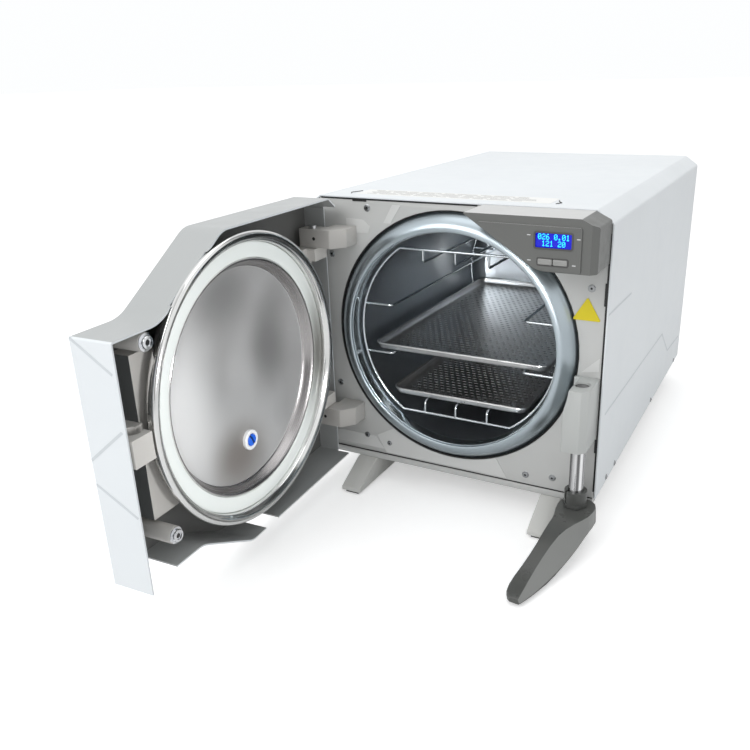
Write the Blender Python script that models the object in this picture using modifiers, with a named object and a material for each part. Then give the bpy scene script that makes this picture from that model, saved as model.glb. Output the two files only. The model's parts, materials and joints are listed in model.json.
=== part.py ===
"""Benchtop steam autoclave with an open side-hinged door, as an assembly of separate pieces.

Metres, +Z up.  Shapes are laid out in machine coordinates: X to the right, Y into the machine,
the front panel at Y = 0, the casing centred on X = 0 and the bench at Z = 0.  The door's pieces
are laid out as if the door were shut, and its empty then turns them to the open rest position.
"""

from math import atan2, ceil, cos, pi, radians, sin, tan

import bmesh
import bpy
from mathutils import Matrix, Vector

# Driving dimensions
WIDTH = 0.360
DEPTH = 0.522
BASE_Z = 0.039
TOP_Z = 0.359
SHOULDER_X = 0.018
SHOULDER_Z = 0.013
SHEET = 0.002
GAP = 0.0003
SIDE_X = WIDTH / 2

BORE_X = 0.005
BORE_Z = 0.202
BORE_R = 0.125
BORE_DEPTH = 0.360
VESSEL_WALL = 0.0035
FLANGE_R = 0.145
PANEL_HOLE_R = 0.1475
FLANGE_NOSE_Y = -0.0125
ROUND_STEPS = 48

HINGE_X = -0.155
HINGE_Y = -0.0285
PIN_R = 0.004
REST_OPEN = radians(87.5)
UPPER_BRACKET_Z = (0.3050, 0.3255)
LOWER_BRACKET_Z = (0.0840, 0.1064)
UPPER_LUG_Z = (0.2905, 0.3045)
LOWER_LUG_Z = (0.1070, 0.1210)

COVER_FRONT_Y = -0.054
COVER_BACK_Y = -0.009
COVER_HINGE_BACK_Y = -0.026
COVER_HINGE_X = -0.178
COVER_FREE_X = 0.184
COVER_SHEET = 0.0015
ARM_FRONT_Y = -0.052
ARM_BACK_Y = -0.030
WEB_HALF_WIDTH = 0.013
RIM_R = 0.1470
RIM_BEAD = 0.0030
RIM_Y = -0.005
GASKET_FACE_Y = -0.0132
DISC_FRONT_Y = -0.0248
DISC_EDGE_R = 0.1450
DISC_CLEAR_R = 0.1520
RIM_CLEAR_R = 0.1508
RIM_CLEAR_Y = -0.0116
PROBE_X = 0.000
PROBE_Z = 0.128
PROBE_R = 0.011

LOCK_X = 0.1635
LOCK_Y = -0.023
ROD_R = 0.008
ROD_HOLE_R = 0.0088
LOCK_BLOCK_Z = (0.1130, 0.1830)
LATCH_Z = (0.1845, 0.2105)
LEVER_TOP_Z = 0.041
LEVER_HEAD_BOTTOM_Z = 0.021
LEVER_YAW = radians(-5.5)
COLLAR_R = 0.0122
COLLAR_Z = (0.0423, 0.0600)

FASCIA_Y = -0.053
FASCIA_TOP_Z = 0.358
FASCIA_BOTTOM_Z = 0.3055
FASCIA_RIGHT_X = 0.1775
DISPLAY_CENTRE = (0.1351, 0.3361)
DISPLAY_SIZE = (0.0366, 0.0150)
POCKET_DEPTH = 0.0030
BUTTON_Z = 0.3154
BUTTON_SIZE = (0.0144, 0.0060)
BUTTON_DEPTH = 0.0060
BUTTON_XS = (0.12745, 0.14255)

WIRE_R = 0.0016
RAIL_R = 0.0015
RAIL_OFFSET = 0.0005
HOOP_R = 0.1215
RACK_FRONT_Y = 0.010
RACK_BACK_Y = 0.345
RACK_HALF_Z = 0.100
FLOOR_RAIL_DROP = 0.0855
SIDE_RAIL_DROP = 0.030
SIDE_RAIL_X = 0.082
FLOOR_RAIL_XS = (-0.040, 0.0, 0.040)
UPPER_TRAY_HALF_WIDTH = 0.111
LOWER_TRAY_HALF_WIDTH = 0.0875
TRAY_FRONT_Y = 0.0125
TRAY_LENGTH = 0.345
TRAY_HEIGHT = 0.0090
TRAY_LEAN = 0.0035
TRAY_SHEET = 0.0012

FAN_X = 0.105
FAN_Z = 0.210
FAN_SIDE = 0.080
FAN_FRAME_Y = (0.4935, 0.5185)
FAN_BLADES = 7
REAR_Y = 0.5190
CONDENSER_SLOTS = 5
TAP_X = 0.140
TAP_Z = 0.075
TAP_PIVOT_Y = 0.530

# The whole machine is moved so that the origin is under the middle of its open-door bounding box.
ORIGIN_SHIFT = Vector((-0.0028, -0.0858, 0.0))

COLOURS = {
    "white_paint": ((0.80, 0.84, 0.86), 0.35, 0.0),
    "panel_grey": ((0.60, 0.57, 0.53), 0.30, 0.0),
    "cast_grey": ((0.57, 0.55, 0.51), 0.45, 0.0),
    "dark_grey": ((0.10, 0.097, 0.09), 0.45, 0.0),
    "fascia_grey": ((0.21, 0.20, 0.185), 0.50, 0.0),
    "steel": ((0.62, 0.63, 0.64), 0.25, 1.0),
    "satin_flange": ((0.45, 0.52, 0.56), 0.35, 1.0),
    "chrome": ((0.80, 0.80, 0.82), 0.08, 1.0),
    "silicone": ((0.76, 0.81, 0.78), 0.50, 0.0),
    "black_rubber": ((0.02, 0.02, 0.02), 0.70, 0.0),
    "black_plastic": ((0.025, 0.025, 0.027), 0.50, 0.0),
    "display_blue": ((0.0, 0.0, 0.55), 0.20, 0.0),
    "warning_yellow": ((0.85, 0.70, 0.02), 0.50, 0.0),
    "plug_blue": ((0.02, 0.12, 0.55), 0.35, 0.0),
    "white_plastic": ((0.85, 0.85, 0.84), 0.40, 0.0),
    "board_green": ((0.02, 0.18, 0.07), 0.50, 0.0),
    "insulation": ((0.70, 0.66, 0.52), 0.90, 0.0),
    "brass": ((0.60, 0.45, 0.18), 0.35, 1.0),
    "tank_plastic": ((0.75, 0.78, 0.78), 0.45, 0.0),
}


class Body:
    """An empty that carries the pieces of one moving body, and where its origin lies."""

    def __init__(self, name, origin=(0.0, 0.0, 0.0), parent=None, turn=0.0):
        self.origin = Vector(origin)
        self.empty = bpy.data.objects.new(name, None)
        PARTS.objects.link(self.empty)
        self.empty.rotation_euler.z = turn
        if parent is None:
            self.empty.location = ORIGIN_SHIFT
        else:
            self.empty.parent = parent.empty
            self.empty.location = self.origin - parent.origin

    def take(self, obj, colour):
        """Parent a piece laid out in machine coordinates and give it its material."""
        obj.parent = self.empty
        obj.location = obj.location - self.origin
        obj.data.materials.clear()
        obj.data.materials.append(material(colour))
        return obj


def clear_scene():
    for obj in list(bpy.data.objects):
        bpy.data.objects.remove(obj)


def collection(name):
    made = bpy.data.collections.new(name)
    bpy.context.scene.collection.children.link(made)
    return made


def material(name):
    made = bpy.data.materials.get(name)
    if made:
        return made
    colour, roughness, metallic = COLOURS[name]
    made = bpy.data.materials.new(name)
    made.use_nodes = True
    shader = made.node_tree.nodes["Principled BSDF"]
    shader.inputs["Base Color"].default_value = (*colour, 1.0)
    shader.inputs["Roughness"].default_value = roughness
    shader.inputs["Metallic"].default_value = metallic
    return made


# Shape helpers


def mesh_object(name, bm, location=(0.0, 0.0, 0.0), smooth=False):
    mesh = bpy.data.meshes.new(name)
    bm.to_mesh(mesh)
    bm.free()
    if smooth:
        mesh.shade_smooth()
        mesh.set_sharp_from_angle(angle=radians(40))
    obj = bpy.data.objects.new(name, mesh)
    obj.location = location
    PARTS.objects.link(obj)
    return obj


def box(name, low, high):
    """A box between two opposite corners, with its origin at its centre."""
    low, high = Vector(low), Vector(high)
    bm = bmesh.new()
    bmesh.ops.create_cube(bm, size=1.0)
    bmesh.ops.scale(bm, vec=high - low, verts=bm.verts)
    return mesh_object(name, bm, (low + high) / 2)


def rod(name, start, end, radius, sides=24, end_radius=None):
    """A solid cylinder or cone between two points, with its origin at the middle."""
    start, end = Vector(start), Vector(end)
    bm = bmesh.new()
    bmesh.ops.create_cone(
        bm,
        cap_ends=True,
        segments=sides,
        radius1=radius,
        radius2=radius if end_radius is None else end_radius,
        depth=(end - start).length,
    )
    turn = (end - start).to_track_quat("Z", "Y").to_matrix()
    bmesh.ops.rotate(bm, matrix=turn, verts=bm.verts)
    return mesh_object(name, bm, (start + end) / 2, smooth=True)


def turned(name, profile, centre, steps=ROUND_STEPS):
    """A turned piece about an axis along Y.  The profile is (radius, y), outer side first."""
    mesh = bpy.data.meshes.new(name)
    points = [(radius, 0.0, -y) for radius, y in profile]
    pairs = [(i, (i + 1) % len(points)) for i in range(len(points))]
    edges = [(i, j) for i, j in pairs if points[i][0] > 0.0 or points[j][0] > 0.0]
    mesh.from_pydata(points, edges, [])
    obj = bpy.data.objects.new(name, mesh)
    PARTS.objects.link(obj)
    obj.location = (centre[0], 0.0, centre[1])
    obj.rotation_euler.x = pi / 2
    screw = obj.modifiers.new("turn", "SCREW")
    screw.steps = steps
    screw.render_steps = steps
    screw.use_merge_vertices = True
    screw.merge_threshold = 1e-5
    return obj


def arc(centre, radius, start, end, steps):
    """Points on an arc, both ends included, with angles in radians."""
    return [
        (
            centre[0] + radius * cos(start + (end - start) * i / steps),
            centre[1] + radius * sin(start + (end - start) * i / steps),
        )
        for i in range(steps + 1)
    ]


def circle(centre, radius, sides):
    return arc(centre, radius, 0.0, 2 * pi, sides)[:-1]


def rounded(corners):
    """A closed outline from (x, y, radius) corners, each replaced by a tangent arc."""
    outline = []
    for i, (x, y, radius) in enumerate(corners):
        here = Vector((x, y))
        back = (Vector(corners[i - 1][:2]) - here).normalized()
        ahead = (Vector(corners[(i + 1) % len(corners)][:2]) - here).normalized()
        if radius == 0.0:
            outline.append((x, y))
            continue
        half = back.angle(ahead) / 2
        reach = radius / tan(half)
        centre = here + (back + ahead).normalized() * radius / sin(half)
        first = here + back * reach - centre
        last = here + ahead * reach - centre
        start = atan2(first.y, first.x)
        sweep = (atan2(last.y, last.x) - start + pi) % (2 * pi) - pi
        steps = max(2, ceil(abs(sweep) / radians(20)))
        outline += arc(centre, radius, start, start + sweep, steps)
    return outline


def inset(outline, distance):
    """An anticlockwise outline moved inwards by a constant distance."""
    moved = []
    for i, point in enumerate(outline):
        here = Vector(point)
        back = (here - Vector(outline[i - 1])).normalized()
        ahead = (Vector(outline[(i + 1) % len(outline)]) - here).normalized()
        normals = [Vector((-side.y, side.x)) for side in (back, ahead)]
        middle = (normals[0] + normals[1]).normalized()
        moved.append(tuple(here + middle * distance / middle.dot(normals[0])))
    return moved


def plate(name, outlines, low, high, plane="XZ"):
    """A flat outline, with its holes, made solid between two positions on the third axis."""
    curve = bpy.data.curves.new(name, "CURVE")
    curve.dimensions = "2D"
    curve.fill_mode = "BOTH"
    curve.extrude = (high - low) / 2
    for outline in outlines:
        spline = curve.splines.new("POLY")
        spline.points.add(len(outline) - 1)
        spline.use_cyclic_u = True
        for point, (u, v) in zip(spline.points, outline):
            point.co = (u, v, 0.0, 1.0)
    flat = bpy.data.objects.new(name, curve)
    middle = (high + low) / 2
    spot = {"XZ": (0.0, middle, 0.0), "XY": (0.0, 0.0, middle), "YZ": (middle, 0.0, 0.0)}[plane]
    turns = {
        "XZ": Matrix.Rotation(pi / 2, 4, "X"),
        "XY": Matrix.Identity(4),
        "YZ": Matrix.Rotation(pi / 2, 4, "Z") @ Matrix.Rotation(pi / 2, 4, "X"),
    }
    return solid_from_curve(flat, Matrix.Translation(spot) @ turns[plane])


def tapered(name, low_outline, low_z, high_outline, high_z):
    """A solid between two outlines of equally many points, lying flat at two heights."""
    bm = bmesh.new()
    low = [bm.verts.new((x, y, low_z)) for x, y in low_outline]
    high = [bm.verts.new((x, y, high_z)) for x, y in high_outline]
    bm.faces.new(low[::-1])
    bm.faces.new(high)
    for i in range(len(low)):
        bm.faces.new((low[i - 1], low[i], high[i], high[i - 1]))
    return mesh_object(name, bm, smooth=True)


def wire(name, points, radius, closed=False):
    """A round bar along straight stretches between points."""
    curve = bpy.data.curves.new(name, "CURVE")
    curve.dimensions = "3D"
    curve.bevel_depth = radius
    curve.bevel_resolution = 2
    curve.use_fill_caps = True
    spline = curve.splines.new("POLY")
    spline.points.add(len(points) - 1)
    spline.use_cyclic_u = closed
    for point, place in zip(spline.points, points):
        point.co = (*place, 1.0)
    return solid_from_curve(bpy.data.objects.new(name, curve), Matrix.Identity(4))


def solid_from_curve(curve_object, place):
    """Replace a curve object by its welded mesh, placed by a matrix."""
    PARTS.objects.link(curve_object)
    name = curve_object.name
    bpy.context.view_layer.update()
    depsgraph = bpy.context.evaluated_depsgraph_get()
    mesh = bpy.data.meshes.new_from_object(curve_object.evaluated_get(depsgraph))
    bpy.data.objects.remove(curve_object)
    bm = bmesh.new()
    bm.from_mesh(mesh)
    bmesh.ops.remove_doubles(bm, verts=bm.verts, dist=1e-6)
    bmesh.ops.transform(bm, matrix=place, verts=bm.verts)
    bmesh.ops.recalc_face_normals(bm, faces=bm.faces)
    bpy.data.meshes.remove(mesh)
    return mesh_object(name, bm, smooth=True)


def boolean(obj, other, operation):
    """Cut or join another object, which becomes a hidden cutter in the same place."""
    PARTS.objects.unlink(other)
    CUTTERS.objects.link(other)
    other.hide_render = True
    other.display_type = "WIRE"
    change = obj.modifiers.new(operation.lower(), "BOOLEAN")
    change.operation = operation
    change.object = other
    return obj


def cut(obj, *others):
    for other in others:
        boolean(obj, other, "DIFFERENCE")
    return obj


def join(obj, *others):
    for other in others:
        boolean(obj, other, "UNION")
    return obj


def settle(obj):
    """Apply an object's Booleans, remove their cutters and leave a plain mesh."""
    bpy.context.view_layer.update()
    depsgraph = bpy.context.evaluated_depsgraph_get()
    mesh = bpy.data.meshes.new_from_object(obj.evaluated_get(depsgraph))
    used = [change.object for change in obj.modifiers if change.type == "BOOLEAN"]
    obj.modifiers.clear()
    obj.data = mesh
    for other in used:
        bpy.data.objects.remove(other)
    return obj


# Casing and base


def casing_outline(margin):
    """The casing's front outline, drawn in by a margin, from lower left round to lower right."""
    side = SIDE_X - margin
    top = TOP_Z - margin
    slope = margin * 0.4
    return [
        (-side, BASE_Z),
        (-side, TOP_Z - SHOULDER_Z - slope),
        (-SIDE_X + SHOULDER_X + slope, top),
        (SIDE_X - SHOULDER_X - slope, top),
        (side, TOP_Z - SHOULDER_Z - slope),
        (side, BASE_Z),
    ]


def make_casing(root):
    shell = casing_outline(0.0) + casing_outline(SHEET)[::-1]
    root.take(settle(plate("casing_cover", [shell], 0.0, DEPTH)), "white_paint")

    panel = [(x, max(z, BASE_Z + GAP)) for x, z in casing_outline(SHEET + 2 * GAP)]
    opening = circle((BORE_X, BORE_Z), PANEL_HOLE_R, 64)
    front = plate("front_panel", [panel, opening], GAP, 0.0028)
    root.take(front, "panel_grey")

    pan = box("base_pan", (-0.177, -0.0005, 0.031), (0.177, 0.5205, BASE_Z - GAP))
    cut(pan, box("pan_inside", (-0.1755, 0.0010, 0.0328), (0.1755, 0.519, 0.060)))
    root.take(settle(pan), "panel_grey")

    rear = plate("rear_panel", [panel], REAR_Y, DEPTH - GAP)
    cut(
        rear,
        rod("fan_hole", (FAN_X, 0.50, FAN_Z), (FAN_X, 0.54, FAN_Z), 0.036),
        box("inlet_hole", (-0.156, 0.50, 0.0555), (-0.124, 0.54, 0.0845)),
        box("switch_hole", (-0.101, 0.50, 0.0585), (-0.079, 0.54, 0.0815)),
        rod("tap_hole", (0.140, 0.50, 0.075), (0.140, 0.54, 0.075), 0.0084),
        rod("filter_hole", (0.120, 0.50, 0.315), (0.120, 0.54, 0.315), 0.0154),
    )
    root.take(settle(rear), "white_paint")


def make_feet(root):
    for side, low_x, high_x in (("left", -0.125, -0.099), ("right", 0.117, 0.141)):
        profile = rounded(
            [
                (0.050, 0.0307, 0.002),
                (-0.004, 0.0307, 0.0),
                (-0.047, 0.0085, 0.002),
                (-0.047, 0.0033, 0.001),
                (0.050, 0.0033, 0.002),
            ]
        )
        foot = plate(f"front_{side}_foot", [profile], low_x, high_x, "YZ")
        root.take(foot, "cast_grey")
        pad = box(f"{side}_pad", (low_x + 0.004, -0.044, 0.0), (high_x - 0.004, 0.046, 0.0030))
        root.take(pad, "black_rubber")
    for side, x in (("left", -0.145), ("right", 0.145)):
        foot = rod(f"rear_{side}_foot", (x, 0.470, 0.0), (x, 0.470, 0.0307), 0.014, 24, 0.017)
        root.take(foot, "black_rubber")


# Chamber


def make_chamber(root):
    centre = (BORE_X, BORE_Z)
    outer = BORE_R + VESSEL_WALL
    front = 0.006
    vessel = [
        (outer, front),
        (outer, BORE_DEPTH + 0.004),
        (0.118, BORE_DEPTH + 0.018),
        (0.080, BORE_DEPTH + 0.029),
        (0.000, BORE_DEPTH + 0.034),
        (0.000, BORE_DEPTH + 0.030),
        (0.079, BORE_DEPTH + 0.025),
        (0.115, BORE_DEPTH + 0.015),
        (BORE_R, BORE_DEPTH),
        (BORE_R, front),
    ]
    root.take(turned("chamber_vessel", vessel, centre), "steel")

    flange = [
        (0.1300, FLANGE_NOSE_Y),
        (0.1345, -0.0108),
        (0.1390, -0.0065),
        (0.1425, -0.0020),
        (FLANGE_R, 0.0030),
        (FLANGE_R, front - GAP),
        (BORE_R, front - GAP),
        (BORE_R, -0.0100),
        (0.1268, -0.0120),
    ]
    root.take(turned("chamber_flange", flange, centre), "satin_flange")

    seal = [(0.1472, 0.0005), (0.1472, 0.0050), (0.1454, 0.0050), (0.1454, 0.0005)]
    root.take(turned("flange_gap_seal", seal, centre), "black_rubber")

    jacket = [(0.150, 0.020), (0.150, 0.395), (0.134, 0.395), (0.134, 0.020)]
    root.take(turned("insulation_jacket", jacket, centre), "insulation")

    band = [(0.1332, 0.120), (0.1332, 0.300), (outer + GAP, 0.300), (outer + GAP, 0.120)]
    root.take(turned("heater_band", band, centre), "brass")


def rack_hoop(name, y):
    """A round hoop with a flat top and bottom, as the rack's front and back frames."""
    edge = atan2(RACK_HALF_Z, (HOOP_R**2 - RACK_HALF_Z**2) ** 0.5)
    right = arc((BORE_X, BORE_Z), HOOP_R, -edge, edge, 7)
    left = arc((BORE_X, BORE_Z), HOOP_R, pi - edge, pi + edge, 7)
    return wire(name, [(x, y, z) for x, z in right + left], WIRE_R, closed=True)


def rack_rails():
    """The rack's long wires, each bent at both ends to meet the hoops just inside their centres."""
    front_y = RACK_FRONT_Y + RAIL_OFFSET
    back_y = RACK_BACK_Y - RAIL_OFFSET
    rails = []
    for up in (-1, 1):
        hoop_z = BORE_Z + up * RACK_HALF_Z
        rail_z = BORE_Z + up * FLOOR_RAIL_DROP
        for x in FLOOR_RAIL_XS:
            ends = [(front_y, hoop_z), (front_y, rail_z), (back_y, rail_z), (back_y, hoop_z)]
            rails.append([(BORE_X + x, y, z) for y, z in ends])
        side_z = BORE_Z + up * SIDE_RAIL_DROP
        reach = (HOOP_R**2 - SIDE_RAIL_DROP**2) ** 0.5 - RAIL_OFFSET
        for side in (-1, 1):
            ends = [(reach, front_y), (SIDE_RAIL_X, front_y), (SIDE_RAIL_X, back_y), (reach, back_y)]
            rails.append([(BORE_X + side * x, y, side_z) for x, y in ends])
    return rails


def make_rack(root):
    rack = rack_hoop("tray_rack", RACK_FRONT_Y)
    join(rack, rack_hoop("rear_hoop", RACK_BACK_Y))
    for i, points in enumerate(rack_rails()):
        join(rack, wire(f"rail_{i}", points, RAIL_R))
    root.take(settle(rack), "steel")


def tray_outline(half_width):
    corner = 0.014
    back_y = TRAY_FRONT_Y + TRAY_LENGTH
    return rounded(
        [
            (BORE_X - half_width, TRAY_FRONT_Y, corner),
            (BORE_X + half_width, TRAY_FRONT_Y, corner),
            (BORE_X + half_width, back_y, corner),
            (BORE_X - half_width, back_y, corner),
        ]
    )


def make_tray(body, name, half_width, rail_drop):
    """A shallow tray with rounded corners and sides that lean outwards, lying on its rails."""
    floor_z = BORE_Z - rail_drop + RAIL_R + GAP
    rim_z = floor_z + TRAY_HEIGHT
    rim = tray_outline(half_width)
    floor = inset(rim, TRAY_LEAN)
    tray = tapered(name, floor, floor_z, rim, rim_z)
    inside_floor = inset(floor, TRAY_SHEET)
    inside_rim = inset(rim, TRAY_SHEET)
    cut(tray, tapered("inside", inside_floor, floor_z + TRAY_SHEET, inside_rim, rim_z + GAP))
    body.take(settle(tray), "steel")


# Hinges


def make_hinges(root):
    outline = rounded(
        [
            (-0.1145, -GAP, 0.0),
            (-0.1430, -GAP, 0.0),
            (-0.1430, -0.0160, 0.003),
            (-0.1700, -0.0190, 0.003),
            (-0.1700, -0.0375, 0.003),
            (-0.1280, -0.0375, 0.003),
            (-0.1145, -0.0220, 0.004),
        ]
    )
    hole = circle((HINGE_X, HINGE_Y), PIN_R + GAP, 24)
    for name, (low, high) in (("upper", UPPER_BRACKET_Z), ("lower", LOWER_BRACKET_Z)):
        bracket = plate(f"{name}_hinge_bracket", [outline, hole], low, high, "XY")
        root.take(bracket, "cast_grey")
    for name, low, high in (
        ("upper", UPPER_LUG_Z[0] - 0.003, UPPER_BRACKET_Z[1] + 0.0035),
        ("lower", LOWER_BRACKET_Z[0] - 0.003, LOWER_LUG_Z[1] + 0.0035),
    ):
        pin = rod(f"{name}_hinge_pin", (HINGE_X, HINGE_Y, low), (HINGE_X, HINGE_Y, high), PIN_R)
        root.take(pin, "steel")


# Door


def cover_outline():
    """The door cover seen from the front, anticlockwise, with its S-shaped steps."""
    return rounded(
        [
            (COVER_HINGE_X, 0.0330, 0.003),
            (0.0368, 0.0285, 0.025),
            (0.1120, 0.0685, 0.030),
            (COVER_FREE_X, 0.0685, 0.002),
            (COVER_FREE_X, 0.2975, 0.002),
            (0.1285, 0.2975, 0.040),
            (0.0325, TOP_Z, 0.030),
            (-0.1600, TOP_Z, 0.002),
            (COVER_HINGE_X, 0.3460, 0.002),
        ]
    )


def disc_clearance(name, front_y, back_y, radius=DISC_CLEAR_R):
    """The round space that the door's disc needs, about the bore's axis."""
    return rod(name, (BORE_X, front_y, BORE_Z), (BORE_X, back_y, BORE_Z), radius, 64)


def make_door_cover(door):
    outline = cover_outline()
    cover = plate("door_cover", [outline], COVER_FRONT_Y, COVER_BACK_Y)
    inner_y = COVER_FRONT_Y + COVER_SHEET
    inner_x = COVER_FREE_X - COVER_SHEET
    notch_x = LOCK_X - COLLAR_R - 0.0015
    cut(cover, plate("cover_inside", [inset(outline, COVER_SHEET)], inner_y, 0.0))
    strip = box("strip", (inner_x, COVER_FRONT_Y, 0.0600), (COVER_FREE_X, COVER_BACK_Y, 0.0750))
    join(cover, strip)
    cut(
        cover,
        box("collar_notch", (notch_x, inner_y, 0.0610), (inner_x, 0.0, 0.0750)),
        box("lower_gap", (-0.012, inner_y, 0.020), (0.012, 0.0, 0.040)),
        box("hinge_side", (-0.190, COVER_HINGE_BACK_Y, 0.0), (COVER_HINGE_X + 0.004, 0.0, 0.4)),
        disc_clearance("rim_space", RIM_CLEAR_Y, 0.0, RIM_CLEAR_R),
    )
    door.take(settle(cover), "white_paint")


def web(name, corner):
    """A flat arm of the cast frame from the disc's centre out to a corner."""
    centre = Vector((BORE_X, BORE_Z))
    end = Vector(corner)
    side = (end - centre).normalized().orthogonal() * WEB_HALF_WIDTH
    outline = [centre - side, centre + side, end + side, end - side]
    return plate(name, [[tuple(point) for point in outline]], ARM_FRONT_Y + GAP, -0.0455)


def make_door_arm(door):
    bar_z = (LOWER_LUG_Z[0], UPPER_LUG_Z[1])
    arm = box("door_arm", (0.110, ARM_FRONT_Y, 0.112), (0.148, ARM_BACK_Y, 0.272))
    join(
        arm,
        box("hinge_bar", (-0.150, ARM_FRONT_Y, bar_z[0]), (-0.126, ARM_BACK_Y, bar_z[1])),
        box("beam", (-0.130, ARM_FRONT_Y + GAP, 0.184), (0.130, -0.0400, 0.220)),
        web("upper_web", (0.136, 0.256)),
        web("lower_web", (0.136, 0.130)),
        rod("hub", (BORE_X, ARM_FRONT_Y + GAP, BORE_Z), (BORE_X, -0.0345, BORE_Z), 0.028),
        box("latch", (0.1470, ARM_FRONT_Y + GAP, LATCH_Z[0]), (0.1805, -0.0075, LATCH_Z[1])),
    )
    for i, (low, high) in enumerate((UPPER_LUG_Z, LOWER_LUG_Z)):
        join(arm, box(f"lug_{i}", (-0.166, -0.0395, low), (-0.140, -0.0190, high)))
    cut(
        arm,
        disc_clearance("disc_space", DISC_FRONT_Y - 0.0017, 0.0),
        rod("latch_hole", (LOCK_X, LOCK_Y, 0.170), (LOCK_X, LOCK_Y, 0.230), ROD_HOLE_R),
        rod("pin_hole", (HINGE_X, HINGE_Y, 0.080), (HINGE_X, HINGE_Y, 0.340), PIN_R + GAP),
    )
    door.take(settle(arm), "cast_grey")
    for name, x, z in (("upper", 0.146, 0.286), ("lower", 0.144, 0.099)):
        post = rod(f"{name}_cover_post", (x, ARM_FRONT_Y, z), (x, -0.0110, z), 0.0085)
        door.take(post, "cast_grey")
    spacer = rod("disc_spacer", (BORE_X, -0.0342, BORE_Z), (BORE_X, -0.0334, BORE_Z), 0.012)
    door.take(spacer, "steel")


def make_door_disc(door):
    centre = (BORE_X, BORE_Z)
    back = [
        (0.0000, -0.0330),
        (0.0700, -0.0315),
        (0.1060, -0.0272),
        (0.1200, DISC_FRONT_Y),
        (DISC_EDGE_R, DISC_FRONT_Y),
        (DISC_EDGE_R, RIM_CLEAR_Y),
    ]
    rim = arc((RIM_R, RIM_Y - RIM_BEAD), RIM_BEAD, radians(-120), pi, 8)
    face = [
        (0.1440, -0.0225),
        (0.1240, -0.0225),
        (0.1236, -0.0150),
        (0.1210, -0.0142),
        (0.1150, -0.0180),
        (0.1040, -0.0245),
        (0.0700, -0.0290),
        (0.0000, -0.0305),
    ]
    disc = turned("door_disc", back + rim + face, centre)
    probe_end = (PROBE_X, 0.0, PROBE_Z)
    cut(disc, rod("probe_hole", (PROBE_X, -0.060, PROBE_Z), probe_end, PROBE_R + GAP))
    door.take(settle(disc), "steel")

    section = [
        (0.1428, -0.0220),
        (0.1428, GASKET_FACE_Y - 0.0010),
        (0.1415, GASKET_FACE_Y),
        (0.1262, GASKET_FACE_Y),
        (0.1245, GASKET_FACE_Y - 0.0012),
        (0.1245, -0.0220),
    ]
    door.take(turned("door_gasket", section, centre), "silicone")

    front = (PROBE_X, -0.0335, PROBE_Z)
    bushing = rod("probe_bushing", front, (PROBE_X, -0.0255, PROBE_Z), PROBE_R)
    cut(bushing, rod("well", (PROBE_X, -0.027, PROBE_Z), probe_end, 0.0070))
    door.take(settle(bushing), "white_plastic")
    plug = rod("probe_plug", (PROBE_X, -0.0267, PROBE_Z), (PROBE_X, -0.0240, PROBE_Z), 0.0065)
    cut(plug, box("slot", (PROBE_X - 0.001, -0.0252, 0.0), (PROBE_X + 0.001, -0.02, 0.3)))
    door.take(settle(plug), "plug_blue")


# Lock


def make_lock_block(root):
    outline = rounded(
        [
            (0.1495, -GAP, 0.0),
            (0.1495, -0.0450, 0.002),
            (0.1690, -0.0450, 0.001),
            (0.1755, -0.0380, 0.001),
            (0.1755, -GAP, 0.0),
        ]
    )
    hole = circle((LOCK_X, LOCK_Y), ROD_HOLE_R, 24)
    block = plate("lock_block", [outline, hole], *LOCK_BLOCK_Z, "XY")
    cut(block, disc_clearance("disc_path", -0.060, -0.0040))
    root.take(settle(block), "cast_grey")


def lever_sides():
    """The lever seen from above, with its pivot at the origin and its tip towards -Y."""
    head = arc((0.0, 0.0), 0.0185, radians(20), radians(180), 8)
    left = [(-0.0140, -0.0220), (-0.0115, -0.0360), (-0.0120, -0.0740), (-0.0170, -0.1100)]
    tip = [(-0.0160, -0.1360), (-0.0080, -0.1460), (0.0030, -0.1460)]
    right = [(0.0100, -0.1200), (0.0200, -0.0700), (0.0240, -0.0400), (0.0240, -0.0040)]
    return head + left + tip + right


def make_lock_lever(lever):
    """The lever with its top and underside cut to long slopes, turned to its rest position."""
    body = plate("lock_lever", [lever_sides()], 0.0030, LEVER_TOP_Z, "XY")
    above = [
        (-0.0550, LEVER_TOP_Z),
        (-0.1180, 0.0130),
        (-0.1470, 0.0095),
        (-0.1600, 0.0095),
        (-0.1600, 0.0500),
        (-0.0550, 0.0500),
    ]
    below = [
        (0.0300, 0.0),
        (0.0300, LEVER_HEAD_BOTTOM_Z),
        (-0.0450, LEVER_HEAD_BOTTOM_Z),
        (-0.1000, 0.0040),
        (-0.1600, 0.0035),
        (-0.1600, 0.0),
    ]
    cut(
        body,
        plate("above", [above], -0.050, 0.050, "YZ"),
        plate("below", [below], -0.050, 0.050, "YZ"),
        rod("hub_hole", (0, 0, 0), (0, 0, 0.100), ROD_R + GAP),
    )
    body = settle(body)
    body.location = (LOCK_X, LOCK_Y, 0.0)
    lever.take(body, "dark_grey")

    collar = rod("lock_collar", (0, 0, COLLAR_Z[0]), (0, 0, COLLAR_Z[1]), COLLAR_R)
    cut(collar, rod("collar_hole", (0, 0, 0), (0, 0, 0.100), ROD_R + GAP))
    collar = settle(collar)
    collar.location += Vector((LOCK_X, LOCK_Y, 0.0))
    lever.take(collar, "dark_grey")


def make_lock_rod(slider):
    bar = rod("lock_rod", (LOCK_X, LOCK_Y, 0.0300), (LOCK_X, LOCK_Y, 0.1810), ROD_R)
    slider.take(bar, "chrome")


# Controls


def fascia_outline():
    """The fascia seen from the front, with its slanted lower left edge."""
    return rounded(
        [
            (0.0394, FASCIA_TOP_Z, 0.0),
            (0.1188, FASCIA_BOTTOM_Z, 0.030),
            (FASCIA_RIGHT_X, FASCIA_BOTTOM_Z, 0.001),
            (FASCIA_RIGHT_X, 0.3500, 0.002),
            (0.1610, FASCIA_TOP_Z, 0.002),
        ]
    )


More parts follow.
